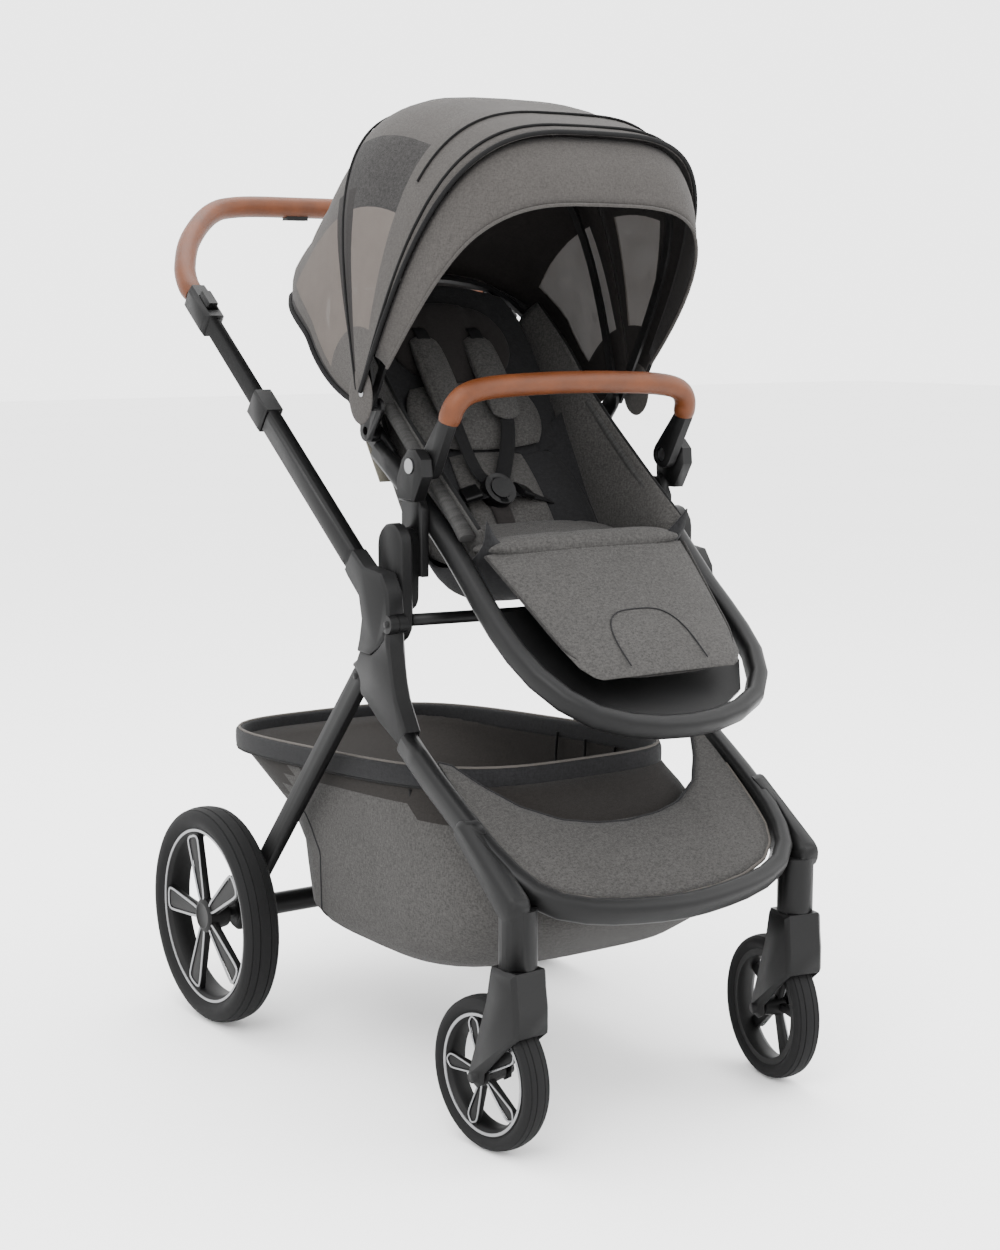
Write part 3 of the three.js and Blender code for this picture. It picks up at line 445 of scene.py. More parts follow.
def shade(code, share=1.0):
    """A colour from its hex code, as linear light, made lighter or darker by share."""
    share *= TONE
    parts = [int(code[i : i + 2], 16) / 255 for i in (0, 2, 4)]
    return tuple(min(1.0, share * (c / 12.92 if c <= 0.04045 else ((c + 0.055) / 1.055) ** 2.4))
        for c in parts) + (1.0,)


def heather(name, code, fleck=0.45, size=300, weave=1700, strength=0.35):
    """A melange cloth: light and dark threads along two ways over a fine plain weave."""
    made = Finish(name, 0.95, Specular_IOR_Level=0.12, Sheen_Weight=0.03)
    warp = made.noise(size, 3.0, (1, 1, 0.4))
    weft = made.noise(size * 1.1, 3.0, (0.4, 0.4, 1))
    fine = made.noise(size * 3.4, 1.0)
    threads = warp * 0.4 + weft * 0.4 + fine * 0.2
    soft = made.noise(14, 2.0)
    light = made.mix(soft.clipped(0.3, 0.75), shade(code, 1 + fleck * 0.8), shade(code, 1 + fleck * 1.2))
    made.fix("Base Color", made.mix(threads.clipped(0.41, 0.59), shade(code, 1 - fleck), light))
    ribs = made.wave(weave, "DIAGONAL")
    made.bump(ribs * 0.25 + fine * 0.4 + warp * 0.35, strength, 0.0006)
    made.fix("Roughness", 0.88 + fine * 0.1)
    return made.material


def plastic(name, code, roughness=0.5, grain=2600, strength=0.12, metallic=0.0):
    """A moulded or powder-coated finish: fine grain, faint cloudiness in its gloss and tone."""
    made = Finish(name, roughness, metallic, Specular_IOR_Level=0.17)
    fine = made.noise(grain, 2.0)
    cloud = made.noise(22, 3.0)
    made.fix("Base Color", made.mix(cloud.clipped(0.3, 0.75), shade(code, 0.88), shade(code, 1.14)))
    made.fix("Roughness", roughness - 0.06 + cloud * 0.14)
    made.bump(fine, strength, 0.0003)
    return made.material


def leather(name, code):
    made = Finish(name, 0.45, Coat_Weight=0.05, Coat_Roughness=0.35, Specular_IOR_Level=0.2)
    pores = made.node("ShaderNodeTexVoronoi", {"feature": "DISTANCE_TO_EDGE"},
        {"Vector": made.place(), "Scale": 620.0})
    cloud = made.noise(28, 4.0)
    fine = made.noise(420, 3.0)
    base = made.mix(cloud.clipped(0.32, 0.7), shade(code, 0.78), shade(code, 1.22))
    made.fix("Base Color", made.mix(fine.clipped(0.55, 0.8) * 0.35, base, shade(code, 0.62)))
    made.fix("Roughness", 0.38 + cloud * 0.2)
    made.bump(pores.clipped(0.0, 0.12) * 0.7 + fine * 0.4, 0.28, 0.0005)
    return made.material


def rubber(name, code):
    made = Finish(name, 0.8, Specular_IOR_Level=0.15)
    dust = made.noise(60, 5.0)
    fine = made.noise(1500, 2.0)
    made.fix("Base Color", made.mix(dust.clipped(0.4, 0.8), shade(code), shade(code, 1.45)))
    made.fix("Roughness", 0.68 + dust * 0.2)
    made.bump(fine * 0.6 + dust * 0.4, 0.2, 0.0005)
    return made.material


def metal(name, code, roughness=0.32):
    made = Finish(name, roughness, 1.0)
    brushed = made.noise(180, 3.0, (1, 0.15, 1))
    made.fix("Base Color", made.mix(brushed, shade(code, 1.9), shade(code, 2.4)))
    made.fix("Roughness", roughness - 0.05 + brushed * 0.12)
    return made.material


def netting(name, code):
    """A sheer window: fine crossing threads that let some light through."""
    made = Finish(name, 0.95, Specular_IOR_Level=0.12)
    across = made.wave(420, "Y", turn=(0.5, 0, 0))
    upward = made.wave(420, "Z", turn=(0.5, 0, 0))
    cloud = made.noise(30, 2.0)
    made.fix("Base Color", made.mix(across * upward + cloud * 0.3, shade(code, 0.8), shade(code, 1.15)))
    made.bump(across * upward, 0.3, 0.0004)
    made.fix("Alpha", 0.84 + cloud * 0.08)
    return made.material


def ribbed(name, code):
    made = Finish(name, 0.95, Specular_IOR_Level=0.12)
    ribs = made.wave(150, "X", "UV")
    fine = made.noise(900, 2.0)
    streak = made.noise(260, 3.0, (0.1, 1, 1), source="UV")
    made.fix("Base Color", made.mix(streak.clipped(0.3, 0.7), shade(code, 0.62), shade(code, 1.3)))
    made.bump(ribs * 0.7 + fine * 0.3, 0.5, 0.0012)
    return made.material


def webbing(name, code):
    made = Finish(name, 0.8, Specular_IOR_Level=0.15)
    ribs = made.wave(420, "Y", "UV")
    fine = made.noise(1400, 2.0)
    made.fix("Base Color", made.mix(ribs, shade(code, 0.8), shade(code, 1.3)))
    made.bump(ribs * 0.7 + fine * 0.3, 0.4, 0.0006)
    return made.material


CLOTHS = {}


def finishes(look):
    """Makes every material once, from the panel's colours."""
    CLOTHS.update(
        frame=plastic("powder_coat", "19191a", 0.46, 2400, 0.14),
        plastic=plastic("moulded_black", "171718", 0.5, 1900, 0.16),
        satin=plastic("satin_black", "1b1b1c", 0.36, 1500, 0.06),
        tyre=rubber("tyre_rubber", "232324"),
        rim=plastic("rim_black", "0d0d0e", 0.55, 1600, 0.08),
        silver=metal("rim_silver", "b9babc", 0.34),
        steel=metal("bolt_steel", "c4c5c7", 0.28),
        leather=leather("cognac_leather", look.leather_code),
        grey=heather("heather_grey", look.fabric_code, 0.34, 520),
        canopy=heather("heather_canopy", look.canopy_code, 0.2, 620, 2100, 0.3),
        patch=heather("heather_patch", "4c4a49", 0.4, 420),
        dark=heather("charcoal_cloth", "3a3a3c", 0.25, 420, 2300, 0.25),
        lining=heather("lining_cloth", "3f3b3a", 0.15, 500, 2300, 0.2),
        inner=heather("basket_lining", "3f3b38", 0.18, 500, 2300, 0.25),
        net=netting("window_net", "a89e97"),
        ribbed=ribbed("ribbed_edge", "6a6968"),
        piping=webbing("black_piping", "1c1c1d"),
        light=webbing("light_piping", "8a847e"),
        web=webbing("harness_web", "1d1d1f"),
        cream=heather("cream_liner", "c9c3b3", 0.1, 500, 2300, 0.2),
    )


def paint(obj, *names):
    """Gives a piece its finishes and keeps which face has which."""
    kept = [face.material_index for face in obj.data.polygons]
    obj.data.materials.clear()
    for name in names:
        obj.data.materials.append(CLOTHS[name])
    for face, index in zip(obj.data.polygons, kept):
        face.material_index = min(index, len(names) - 1)
    return obj


def dress(obj, *names, body=None, hides=()):
    """Puts finishes on a piece, hangs it on the body it rides on and hides the frame nodes it stands for."""
    if names:
        paint(obj, *names)
    if body:
        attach(obj, body)
    if hides:
        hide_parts(*hides)
    return obj


# ---- sizes and colours a user would change ------------------------------------------------------------------
class StrollerLook(bpy.types.PropertyGroup):
    """Colours and trim sizes of the stroller"""

    fabric_code: bpy.props.StringProperty(name="Seat fabric", description="Hex colour of the seat fabric",
        default="6d6b69")
    canopy_code: bpy.props.StringProperty(name="Canopy fabric", description="Hex colour of the canopy",
        default="74706d")
    leather_code: bpy.props.StringProperty(name="Leather", description="Hex colour of the grips",
        default="9c5426")
    piping: bpy.props.FloatProperty(
        name="Piping", description="Radius of the canopy piping", default=0.0028, min=0.001, max=0.005,
        unit="LENGTH"
    )
    grip: bpy.props.FloatProperty(
        name="Grip", description="Radius of the leather handle", default=0.0145, min=0.01, max=0.02,
        unit="LENGTH"
    )
    canopy_thickness: bpy.props.FloatProperty(
        name="Canopy cloth", description="Thickness of the canopy cloth", default=0.0022, min=0.001,
        max=0.004, unit="LENGTH"
    )


# ---- canopy -------------------------------------------------------------------------------------------------
HOOD_SHAPE = [  # angle, top reach, half width, squareness
    (30, 294, 198, 5.6),
    (37, 306, 200, 5.6),
    (48, 300, 203, 5.0),
    (60, 316, 205, 4.3),
    (70, 346, 207, 3.8),
    (78, 371, 208, 3.5),
    (86, 373, 209, 3.5),
    (103, 362, 210, 3.5),
    (122, 369, 211, 3.5),
]
SIDE_REACHES = [20, 45, 70, 95, 118, 142, 166, 190, 213, 236, 262]
TOP_STEPS = 26
HOOD_REAR, HOOD_MID, HOOD_FRONT = 30, 77, 121.5
WINDOW_LOW, WINDOW_HIGH = 95, 236
CANOPY_FINISHES = ("canopy", "net", "lining", "patch", "lining", "net", "lining", "lining")


def hood_arch(degrees, grow=0.0, foot=0):
    """The canopy's cross-section at an angle, as (x, reach) from -x over the top to +x."""
    top, half, power = table(HOOD_SHAPE, degrees)
    top, half = top + grow, half + grow
    side = [(half * (1 - (r / top) ** power) ** (1 / power), r) for r in SIDE_REACHES if r >= foot]
    start = math.asin((SIDE_REACHES[-1] / top) ** (power / 2))
    over = []
    for i in range(1, TOP_STEPS):
        turn = start + (math.pi - 2 * start) * i / TOP_STEPS
        c = math.cos(turn)
        over.append((-math.copysign(abs(c) ** (2 / power), c) * half, top * math.sin(turn) ** (2 / power)))
    return [(-x, r) for x, r in side] + over + [(x, r) for x, r in reversed(side)]


def hood_points(degrees, grow=0.0, foot=0):
    """The arch in place; towards the rear edge the sides lean back to the seat's hinge."""
    rearward = max(0.0, (HOOD_MID - degrees) / (HOOD_MID - HOOD_REAR))
    return [polar(x, degrees - 26 * rearward * max(0.0, 1 - r / 170), r)
        for x, r in hood_arch(degrees, grow, foot)]


def reach_of(j, count):
    """The reach at the lower end of a strip of the canopy's side, or a large number over the top."""
    k = min(j, count - 2 - j)
    return SIDE_REACHES[k] if k < len(SIDE_REACHES) - 1 else 999


def canopy_sheet(name, angles, grow, kind):
    rows = [hood_points(a, grow) for a in angles]
    count = len(rows[0])

    def pick(i, j):
        angle, reach = angles[i] + 0.1, reach_of(j, count)
        return kind(angle, reach, min(j, count - 2 - j))

    for row, angle in zip(rows, angles):
        for p in row:
            wrinkle = noise.noise(p * 9) * 0.0012 + noise.noise(p * 24) * 0.0005
            p += (p - at(0, *HOOD)).normalized() * wrinkle
    return face_out(grid(name, rows, pick=pick), at(0, 283, 960))


def rear_kind(angle, reach, k):
    if angle < 32.9:
        return 2
    if WINDOW_LOW <= reach < WINDOW_HIGH and 38 < angle < 71.5:
        return 1
    if angle > 71.4 and reach < 999:
        return 2
    return 0


def front_kind(angle, reach, k):
    if angle < 83 and reach < 999:
        return 2
    if WINDOW_LOW <= reach < WINDOW_HIGH and angle < 106.5:
        return 1
    if reach >= WINDOW_HIGH and k < len(SIDE_REACHES) + 3 and angle < 106.5:
        return 3
    return 0


class STROLLER_OT_canopy(bpy.types.Operator):
    """Sews the canopy: two curved sheets with net windows, a flip-out visor, seams, piping, a zip and rivets"""

    bl_idname = "stroller.canopy"
    bl_label = "Canopy"

    def execute(self, context):
        look = context.scene.stroller
        cloth = look.canopy_thickness / MM
        angles = [30, 33, 35.5, 38, 41, 44.5, 48, 52, 56, 60, 64, 68, 71.5, 74, 77.5]
        rear = canopy_sheet("canopy_rear_sheet", angles, -1.0, rear_kind)
        thicken(paint(rear, *CANOPY_FINISHES), cloth, -1, 4)
        dress(rear, *CANOPY_FINISHES, hides=["canopy_rear_panel"])
        polar(0, 36, 250)
        polar(0, 74, 250)
        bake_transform(rear)
        angles = [76.5, 79.5, 83, 87, 91, 95, 99, 103, 106.5, 110, 113, 116, 118.5, 121.5]
        front = canopy_sheet("canopy_front_sheet", angles, 1.8, front_kind)
        thicken(paint(front, *CANOPY_FINISHES), cloth, -1, 4)
        dress(front, *CANOPY_FINISHES, hides=["canopy_front_panel"])
        polar(0, 79, 250)
        polar(0, 118, 250)
        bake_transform(front)
        rows = []
        for i in range(9):
            share = i / 8
            row = []
            for x, r in hood_arch(120, 0, 68):
                top, half = lerp(-6, -50, share), lerp(-3, -12, share)
                drop = r / 365
                edge = lerp(137, 132.5, min(1, r / 300))
                bulge = 7 * math.sin(math.pi * share)
                row.append(polar(x * (211 + half) / 211, lerp(120.5, edge, share),
                    r + top * drop**1.5 + bulge * drop))
            rows.append(row)
        visor = thicken(paint(face_out(grid("canopy_visor_sheet", rows), at(0, 283, 838)),
            "canopy", "lining"), cloth, -1, 1)
        dress(visor, "canopy", "lining", body="visor", hides=["canopy_visor"])
        hem = sweep("canopy_visor_hem", rows[-1], circle(2.0, 8))
        dress(hem, "canopy", body="visor")
        trims = (
            ("canopy_ring_piping", HOOD_FRONT, 3.0, look.piping / MM, "canopy_front", "piping"),
            ("canopy_ring_seam", 118.2, 2.8, 1.8, "canopy_front", "piping"),
            ("canopy_mid_seam", 77.2, 2.6, 1.5, "canopy_mid", "piping"),
            ("canopy_rear_piping", HOOD_REAR, 0.5, 3.4, "backrest", "piping"),
        )
        for name, angle, grow, radius, body, finish in trims:
            path = curve_through(hood_points(angle, grow), 120)
            dress(sweep(name, path, circle(radius, 10)), finish, body=body)
        arch = [p for p, (x, r) in zip(hood_points(110.5, 3.0), hood_arch(110.5)) if r > 270]
        zip_line = sweep("canopy_zip", curve_through(arch, 80), squircle(2.4, 1.3, 4, 12))
        dress(zip_line, "piping")
        polar(0, 79, 250)
        polar(0, 118, 250)
        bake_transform(zip_line)
        ring = curve_through(hood_points(HOOD_REAR, -1.0), 60)
        half = [(-179, 326, 818), (-177, 372, 862), (-172, 420, 905), (-158, 464, 948), (-135, 490, 978),
            (-92, 504, 995), (0, 510, 1002)]
        hoop = curve_through([at(*p) for p in half] + [at(-x, y, z) for x, y, z in reversed(half[:-1])], 60)
        rows = []
        for i in range(9):
            share = i / 8
            push = 10 * math.sin(math.pi * share) * MM
            rows.append([p.lerp(q, share) + Vector((0, push, push * 0.4)) for p, q in zip(ring, hoop)])
        drop = thicken(paint(face_out(grid("canopy_back_drop", rows), at(0, 400, 1100)),
            "canopy", "lining"), cloth, -1, 1)
        dress(drop, "canopy", "lining", body="backrest")
        for side, name in ((-1, "right"), (1, "left")):
            tongue = pillow(
                "canopy_tongue_" + name,
                lambda u, v, h, s=side: polar(s * (209 + h), 0, 0) + Vector((0, (u - 4) * MM, (v + 12) * MM)),
                27, 34, 2.2, 2.2, 1.0, (16, 16),
            )
            dress(tongue, "canopy", body="canopy_mid")
            profile = [(0, 0), (0, 5), (1.4, 5), (2.4, 3.4), (2.8, 0)]
            rivet = spun("canopy_rivet_" + name, profile, at(side * 210.5, 274, 854), (side, 0, 0), 24)
            dress(rivet, "steel", body="canopy_mid")
        return {"FINISHED"}


# ---- seat and its padding -----------------------------------------------------------------------------------
def on_slope(origin, degrees):
    """A way to place points on a sloping plane: across, up the slope and above it."""
    c, s = math.cos(math.radians(degrees)), math.sin(math.radians(degrees))
    return lambda x, along, above: at(x, origin[0] + along * c - above * s, origin[1] + along * s + above * c)


BACK = on_slope((337, 775), 56)
CALF = on_slope((104, 668), 38.5)
PANEL = on_slope((-92, 274), 33.6)
TUBE = on_slope((162, 590), 37.3)


def on_lumbar(x, along, above):
    return on_slope((292, 712), 50)(x, along, above)


def groove(value, places, width=3.0, depth=1.0):
    return -sum(depth * math.exp(-(((value - p) / width) ** 2)) for p in places)


class STROLLER_OT_seat(bpy.types.Operator):
    """Sews the seat: back pad and head insert, side walls, base, front roll, ribbed edges, back liner"""

    bl_idname = "stroller.seat"
    bl_label = "Seat"

    def execute(self, context):
        back = pillow("back_cushion", lambda u, v, h: BACK(u, v + 116, h + 2), 146, 136, 15, 8, 0.55,
            (40, 44),
                      lambda u, v: groove(v, [-0.35], 0.03, 3) + groove(abs(u), [0.62], 0.03, 3))
        dress(back, "dark", body="backrest", hides=["back_pad"])
        head = pillow("head_insert", lambda u, v, h: BACK(u, v + 150, h + 17), 92, 62, 13, 2, 0.9, (32, 32),
                      lambda u, v: groove(abs(u), [0.45], 0.05, 4))
        dress(head, "lining", body="backrest")
        insert = pillow("body_insert", lambda u, v, h: BACK(u, v + 40, h + 17), 100, 50, 9, 2, 0.6, (32, 28),
                        lambda u, v: groove(abs(u), [0.5], 0.05, 3))
        dress(insert, "grey", body="backrest")
        lumbar = pillow("lumbar_cushion", on_lumbar, 138, 84, 14, 8, 0.3, (36, 28),
            lambda u, v: groove(abs(u), [0.46], 0.04, 3))
        dress(lumbar, "dark", body="seat")
        lower = pillow("lumbar_insert", lambda u, v, h: on_lumbar(u, v - 6, h + 14), 60, 74, 7, 2, 0.3,
            (24, 24))
        dress(lower, "grey", body="seat")
        base = pillow("seat_base", lambda u, v, h: at(u, 196 + v, 664 + h + 0.18 * v), 137, 66, 20, 16,
            0.35, (36, 24),
                      lambda u, v: groove(abs(u), [0.6], 0.04, 2))
        dress(base, "grey", body="seat", hides=["seat_pad", "seat_bucket"])
        roll = pillow("front_roll", lambda u, v, h: at(u, 122 + v + 0.3 * h, 675 + h - 0.12 * v), 148, 27,
            14, 13, 0.4,
                      (44, 20), lambda u, v: groove(v, [0.62], 0.1,
                          3) + 1.2 * noise.noise(Vector((u * 5, v * 2, 0))))
        dress(roll, "grey", body="seat")
        for side, name in ((-1, "right"), (1, "left")):
            top = curve_through([at(side * 150, y, z)
                for y, z in ((112, 700), (200, 768), (290, 842), (350, 905), (418, 962))], 40)
            low = curve_through([at(side * 139, y, z)
                for y, z in ((118, 664), (196, 650), (270, 676), (340, 772), (446, 930))], 40)
            rows = []
            for i in range(17):
                share = i / 16
                row = []
                for p, q in zip(top, low):
                    point = p.lerp(q, share)
                    point.x -= side * 0.007 * math.sin(math.pi * share) * (1 + 0.3 * noise.noise(point * 18))
                    row.append(point)
                rows.append(row)
            if side < 0:
                rows = [list(reversed(row)) for row in rows]
            wall = thicken(grid("side_wall_" + name, rows), 5, 0)
            outward(wall)
            dress(wall, "grey", hides=[])
            at(0, 296, 786)
            at(0, 336, 826)
            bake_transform(wall)
            edge = sweep("side_wall_piping_" + name, top, circle(2.4, 8))
            dress(edge, "piping")
            at(0, 296, 786)
            at(0, 336, 826)
            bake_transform(edge)
            path = curve_through([at(side * 153, y, z)
                for y, z in ((300, 834), (255, 795), (214, 760), (168, 722), (133, 688))], 50)
            strip = sweep("ribbed_edge_" + name, path, squircle(11, 6.5, 3, 20), up=(0, 0.3, 1))
            dress(strip, "ribbed", body="seat")
        under = curve_through([at(0, y, z) for y, z in (
            (112, 664), (122, 634), (160, 610), (232, 604), (284, 668), (330, 750), (352, 790))], 36)
        rows = []
        for p in under:
            row = []
            for j in range(33):
                across = 2 * j / 32 - 1
                lift = 46 * abs(across) ** 5
                row.append(p + Vector((across * 0.149, -0.3 * lift * MM, lift * MM)))
            rows.append(row)
        sling = thicken(grid("seat_sling", rows), 3, 0)
        outward(sling)
        dress(sling, "dark")
        at(0, 296, 770)
        at(0, 336, 826)
        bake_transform(sling)
        rows = []
        for i in range(15):
            share = i / 14
            row = []
            for j in range(25):
                x = lerp(-150, 150, j / 24)
                sag = 16 * math.sin(math.pi * share) * (1 - (x / 150) ** 2)
                row.append(BACK(x * (1 - 0.22 * max(0, share - 0.75) ** 1.2 * 4), lerp(-30, 252, share),
                    -16 - sag))
            rows.append(row)
        liner = thicken(grid("back_liner", rows), 2, 0)
        paint(liner, "dark", "cream")
        for face in liner.data.polygons:
            face.material_index = 1 if face.center.z < 0.86 else 0
        dress(liner, "dark", "cream", body="backrest")
        return {"FINISHED"}


class STROLLER_OT_calf(bpy.types.Operator):
    """Sews the calf flap with its piping and arched patch"""

    bl_idname = "stroller.calf"
    bl_label = "Calf flap"

    def execute(self, context):
        widths = [(-210, 88), (-200, 108), (-184, 119), (-150, 126), (-60, 139), (8, 150)]

        def place(u, v, h):
            along = -101 + v
            half = table(widths, along)[0]
            bow = 5 * (1 - (u / 150) ** 2)
            return CALF(u * half / 150, along, h + bow)

        flap = pillow("calf_flap", place, 150, 107, 6, 5, 0.12, (44, 44))
        dress(flap, "grey", body="calf_rest", hides=["calf_rest"])
        rim = []
        for k in range(61):
            turn = math.pi * (1 + k / 60)
            rim.append((math.cos(turn), math.sin(turn)))
        points = [CALF(-148, 0, 1)] + [
            CALF(math.copysign(abs(c) ** 0.5, c) * table(widths, -104 - 100 * abs(s) ** 0.5)[0] * 0.99,
                -104 - 102 * abs(s) ** 0.5, 1)
            for c, s in rim
        ] + [CALF(148, 0, 1)]
        dress(sweep("calf_piping", curve_through(points, 110), circle(1.9, 8)), "patch", body="calf_rest")
        arch = []
        for k in range(41):
            turn = math.pi * k / 40
            c, s = math.cos(turn), math.sin(turn)
            arch.append(CALF(56 * math.copysign(abs(c) ** 0.62, c), -196 + 84 * abs(s) ** 0.62,
                10.2 + 1.3 * s))
        dress(sweep("calf_patch_seam", curve_through(arch, 90), circle(0.9, 6)), "dark", body="calf_rest")
        return {"FINISHED"}


class STROLLER_OT_harness(bpy.types.Operator):
    """Makes the shoulder pads, harness straps and strap sliders"""

    bl_idname = "stroller.harness"
    bl_label = "Harness"

    def execute(self, context):
        for name, x, low in (("right", -48, 14), ("left", 34, 22)):
            pad = pillow("shoulder_pad_" + name,
                lambda u, v, h, x=x: BACK(x + u, v + 88, h + 34 - 0.06 * v), 24, 66, 8, 7,
                         0.5, (18, 36), lambda u, v: groove(abs(u), [0.72], 0.08, 1.6))
            dress(pad, "grey", body="backrest")
            path = curve_through([BACK(x, 168, 22), BACK(x, 150, 34), BACK(x, 30, 36),
                at((x - 20) / 2, 290, 752), at(-20, 268, 738)], 40)
            strap = sweep("shoulder_strap_" + name, path, squircle(10, 1.1, 4, 12), up=(0, -0.6, 0.8))
            dress(strap, "web")
            at(0, 290, 750)
            at(0, 330, 800)
            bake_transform(strap)
        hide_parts("shoulder_pads")
        for side in (-1, 1):
            path = curve_through([at(-20 + side * 14, 262, 728), at(side * 60 - 12, 272, 718),
                at(side * 112, 296, 700)], 30)
            strap = sweep("waist_strap_" + ("left" if side > 0 else "right"), path,
                squircle(10, 1.1, 4, 12), up=(0, -0.5, 0.9))
            dress(strap, "web", body="seat")
            pull = sweep("strap_slider_" + ("left" if side > 0 else "right"),
                         curve_through([at(-20 + side * 30, 262, 730), at(-20 + side * 50, 268, 724)], 6),
                         squircle(13, 4, 4, 16),
                         up=(0, -0.5, 0.9))
            dress(pull, "satin", body="seat")
        path = curve_through([at(-20, 262, 712), at(-20, 248, 694), at(-20, 238, 676)], 20)
        dress(sweep("crotch_strap", path, squircle(14, 3.2, 3, 16), up=(0, 1, 0)), "lining", body="seat")
        return {"FINISHED"}


# ---- basket -------------------------------------------------------------------------------------------------
BASKET_RINGS = [  # height, front, rear, half width, rise towards the front
    (150, 235, 480, 110, 0), (151, 190, 508, 142, 0), (158, 140, 530, 172, 0), (176, 85, 545, 188, 0),
    (214, 20, 556, 194, 0),
    (255, -28, 566, 196, 0), (300, -18, 612, 193, 0.02), (345, 50, 706, 191, 0.05),
    (372, 104, 768, 188, 0.066),
]
BASKET_SIDES = 64


def basket_ring(height, grow=0.0, power=3.6, lift=0.0):
    front, rear, half, rise = table(BASKET_RINGS, height)
    points = []
    for k in range(BASKET_SIDES):
        turn = 2 * math.pi * k / BASKET_SIDES
        c, s = math.cos(turn), math.sin(turn)
        reach = (abs(c) ** power + abs(s) ** power) ** (-1 / power)
        y = reach * s * ((rear - front) / 2 + grow)
        points.append(at(reach * c * (half + grow), (front + rear) / 2 + y, height + lift - rise * y))
    return points


class STROLLER_OT_basket(bpy.types.Operator):
    """Sews the storage basket: a sagging skirt, banded rim, inside pockets and the scooped front panel"""

    bl_idname = "stroller.basket"
    bl_label = "Basket"

    def execute(self, context):
        heights = [151, 154, 158, 166, 176, 190, 205, 222, 240, 256, 272, 288, 304, 320, 336, 350, 362, 374]
        rows = [basket_ring(h) for h in heights]
        for row, height in zip(rows, heights):
            for p in row:
                sag = max(0.0, 1 - abs(height - 215) / 90)
                fold = noise.noise(Vector((p.x * 5, p.y * 11, 3))) * 0.006 + (
                    noise.noise(Vector((p.x * 16, p.y * 26, p.z * 7))) * 0.002)
                out = Vector((p.x, 0, 0)).normalized() if abs(p.x) > 0.12 else Vector((0, 0, 0))
                p += out * fold * sag
        middle = [at(0, (235 + 480) / 2, 150)] * BASKET_SIDES
        wall = grid("basket_sack", [middle] + rows, closed=True, pick=lambda i, j: 0 if i < 13 else 1)
        face_out(outward(wall), at(0, 330, 330))
        for face in wall.data.polygons:
            middle = (face.center.y - SHIFT) / MM
            back_edge = 532 - 0.12 * (face.center.z / MM - 150)
            face.material_index = 0 if face.center.z < 0.352 and middle < back_edge else 1
        thicken(paint(wall, "grey", "inner", "inner", "inner"), 3, -1, 2)
        dress(wall, "grey", "inner", "inner", "inner", body="chassis", hides=["storage_basket"])
        band = sweep("basket_rim_band", [p.copy() for p in basket_ring(372, 1, lift=6)],
            squircle(5, 13, 4, 16), closed=True)
        dress(band, "dark", body="chassis", hides=["basket_rim"])
        for name, lift, grow in (("top", 19.5, 1), ("low", -7, 3.5)):
            line = sweep("basket_rim_piping_" + name, basket_ring(372, grow, lift=lift), circle(1.9, 8),
                closed=True)
            dress(line, "light" if name == "top" else "piping", body="chassis")
        for side, name in ((-1, "right"), (1, "left")):
            along = 5 if side > 0 else 27
            seam = curve_through([row[along].copy() for row in rows[3:14]], 50)
            dress(sweep("basket_seam_" + name, seam, circle(1.3, 8)), "dark", body="chassis")
            for number, y in enumerate((250, 380)):
                loop = curve_through([at(side * x, y + dy, z) for x, dy, z in (
                    (181, -32, 376), (178, -30, 330), (179, 0, 306), (178, 30, 330), (181, 32, 376))], 40)
                dress(sweep("basket_pocket_%s_%d" % (name, number), loop, circle(2, 8)), "piping",
                    body="chassis")
        low = [(0, 14), (52, 17), (102, 26), (146, 43), (174, 68), (188, 100), (194, 150), (197.5, 210),
            (198, 268)]
        high = [(0, 136), (45, 140), (90, 154), (130, 182), (160, 222), (182, 262), (198, 270)]
        rows = []
        for i in range(13):
            share = i / 12
            row = []
            for j in range(49):
                x = 197 * math.sin(math.pi / 2 * (2 * j / 48 - 1))
                a, b = table(low, abs(x))[0], table(high, abs(x))[0]
                crown = 5 * math.sin(math.pi * share) * (1 - (x / 198) ** 2)
                crown += 1.2 * noise.noise(Vector((x * 0.02, share * 3, 5)))
                row.append(PANEL(x, lerp(a, max(a + 1, b), share), 3 + crown))
            rows.append(row)
        panel = thicken(grid("basket_front_sheet", rows), 3, 0)
        outward(panel)
        dress(panel, "grey", body="chassis", hides=["basket_front_panel"])
        for name, row, finish in (("low", rows[0], "light"), ("high", rows[-1], "dark")):
            dress(sweep("basket_front_piping_" + name, curve_through(row, 90), circle(2.3, 8)), finish,
                body="chassis")
        return {"FINISHED"}


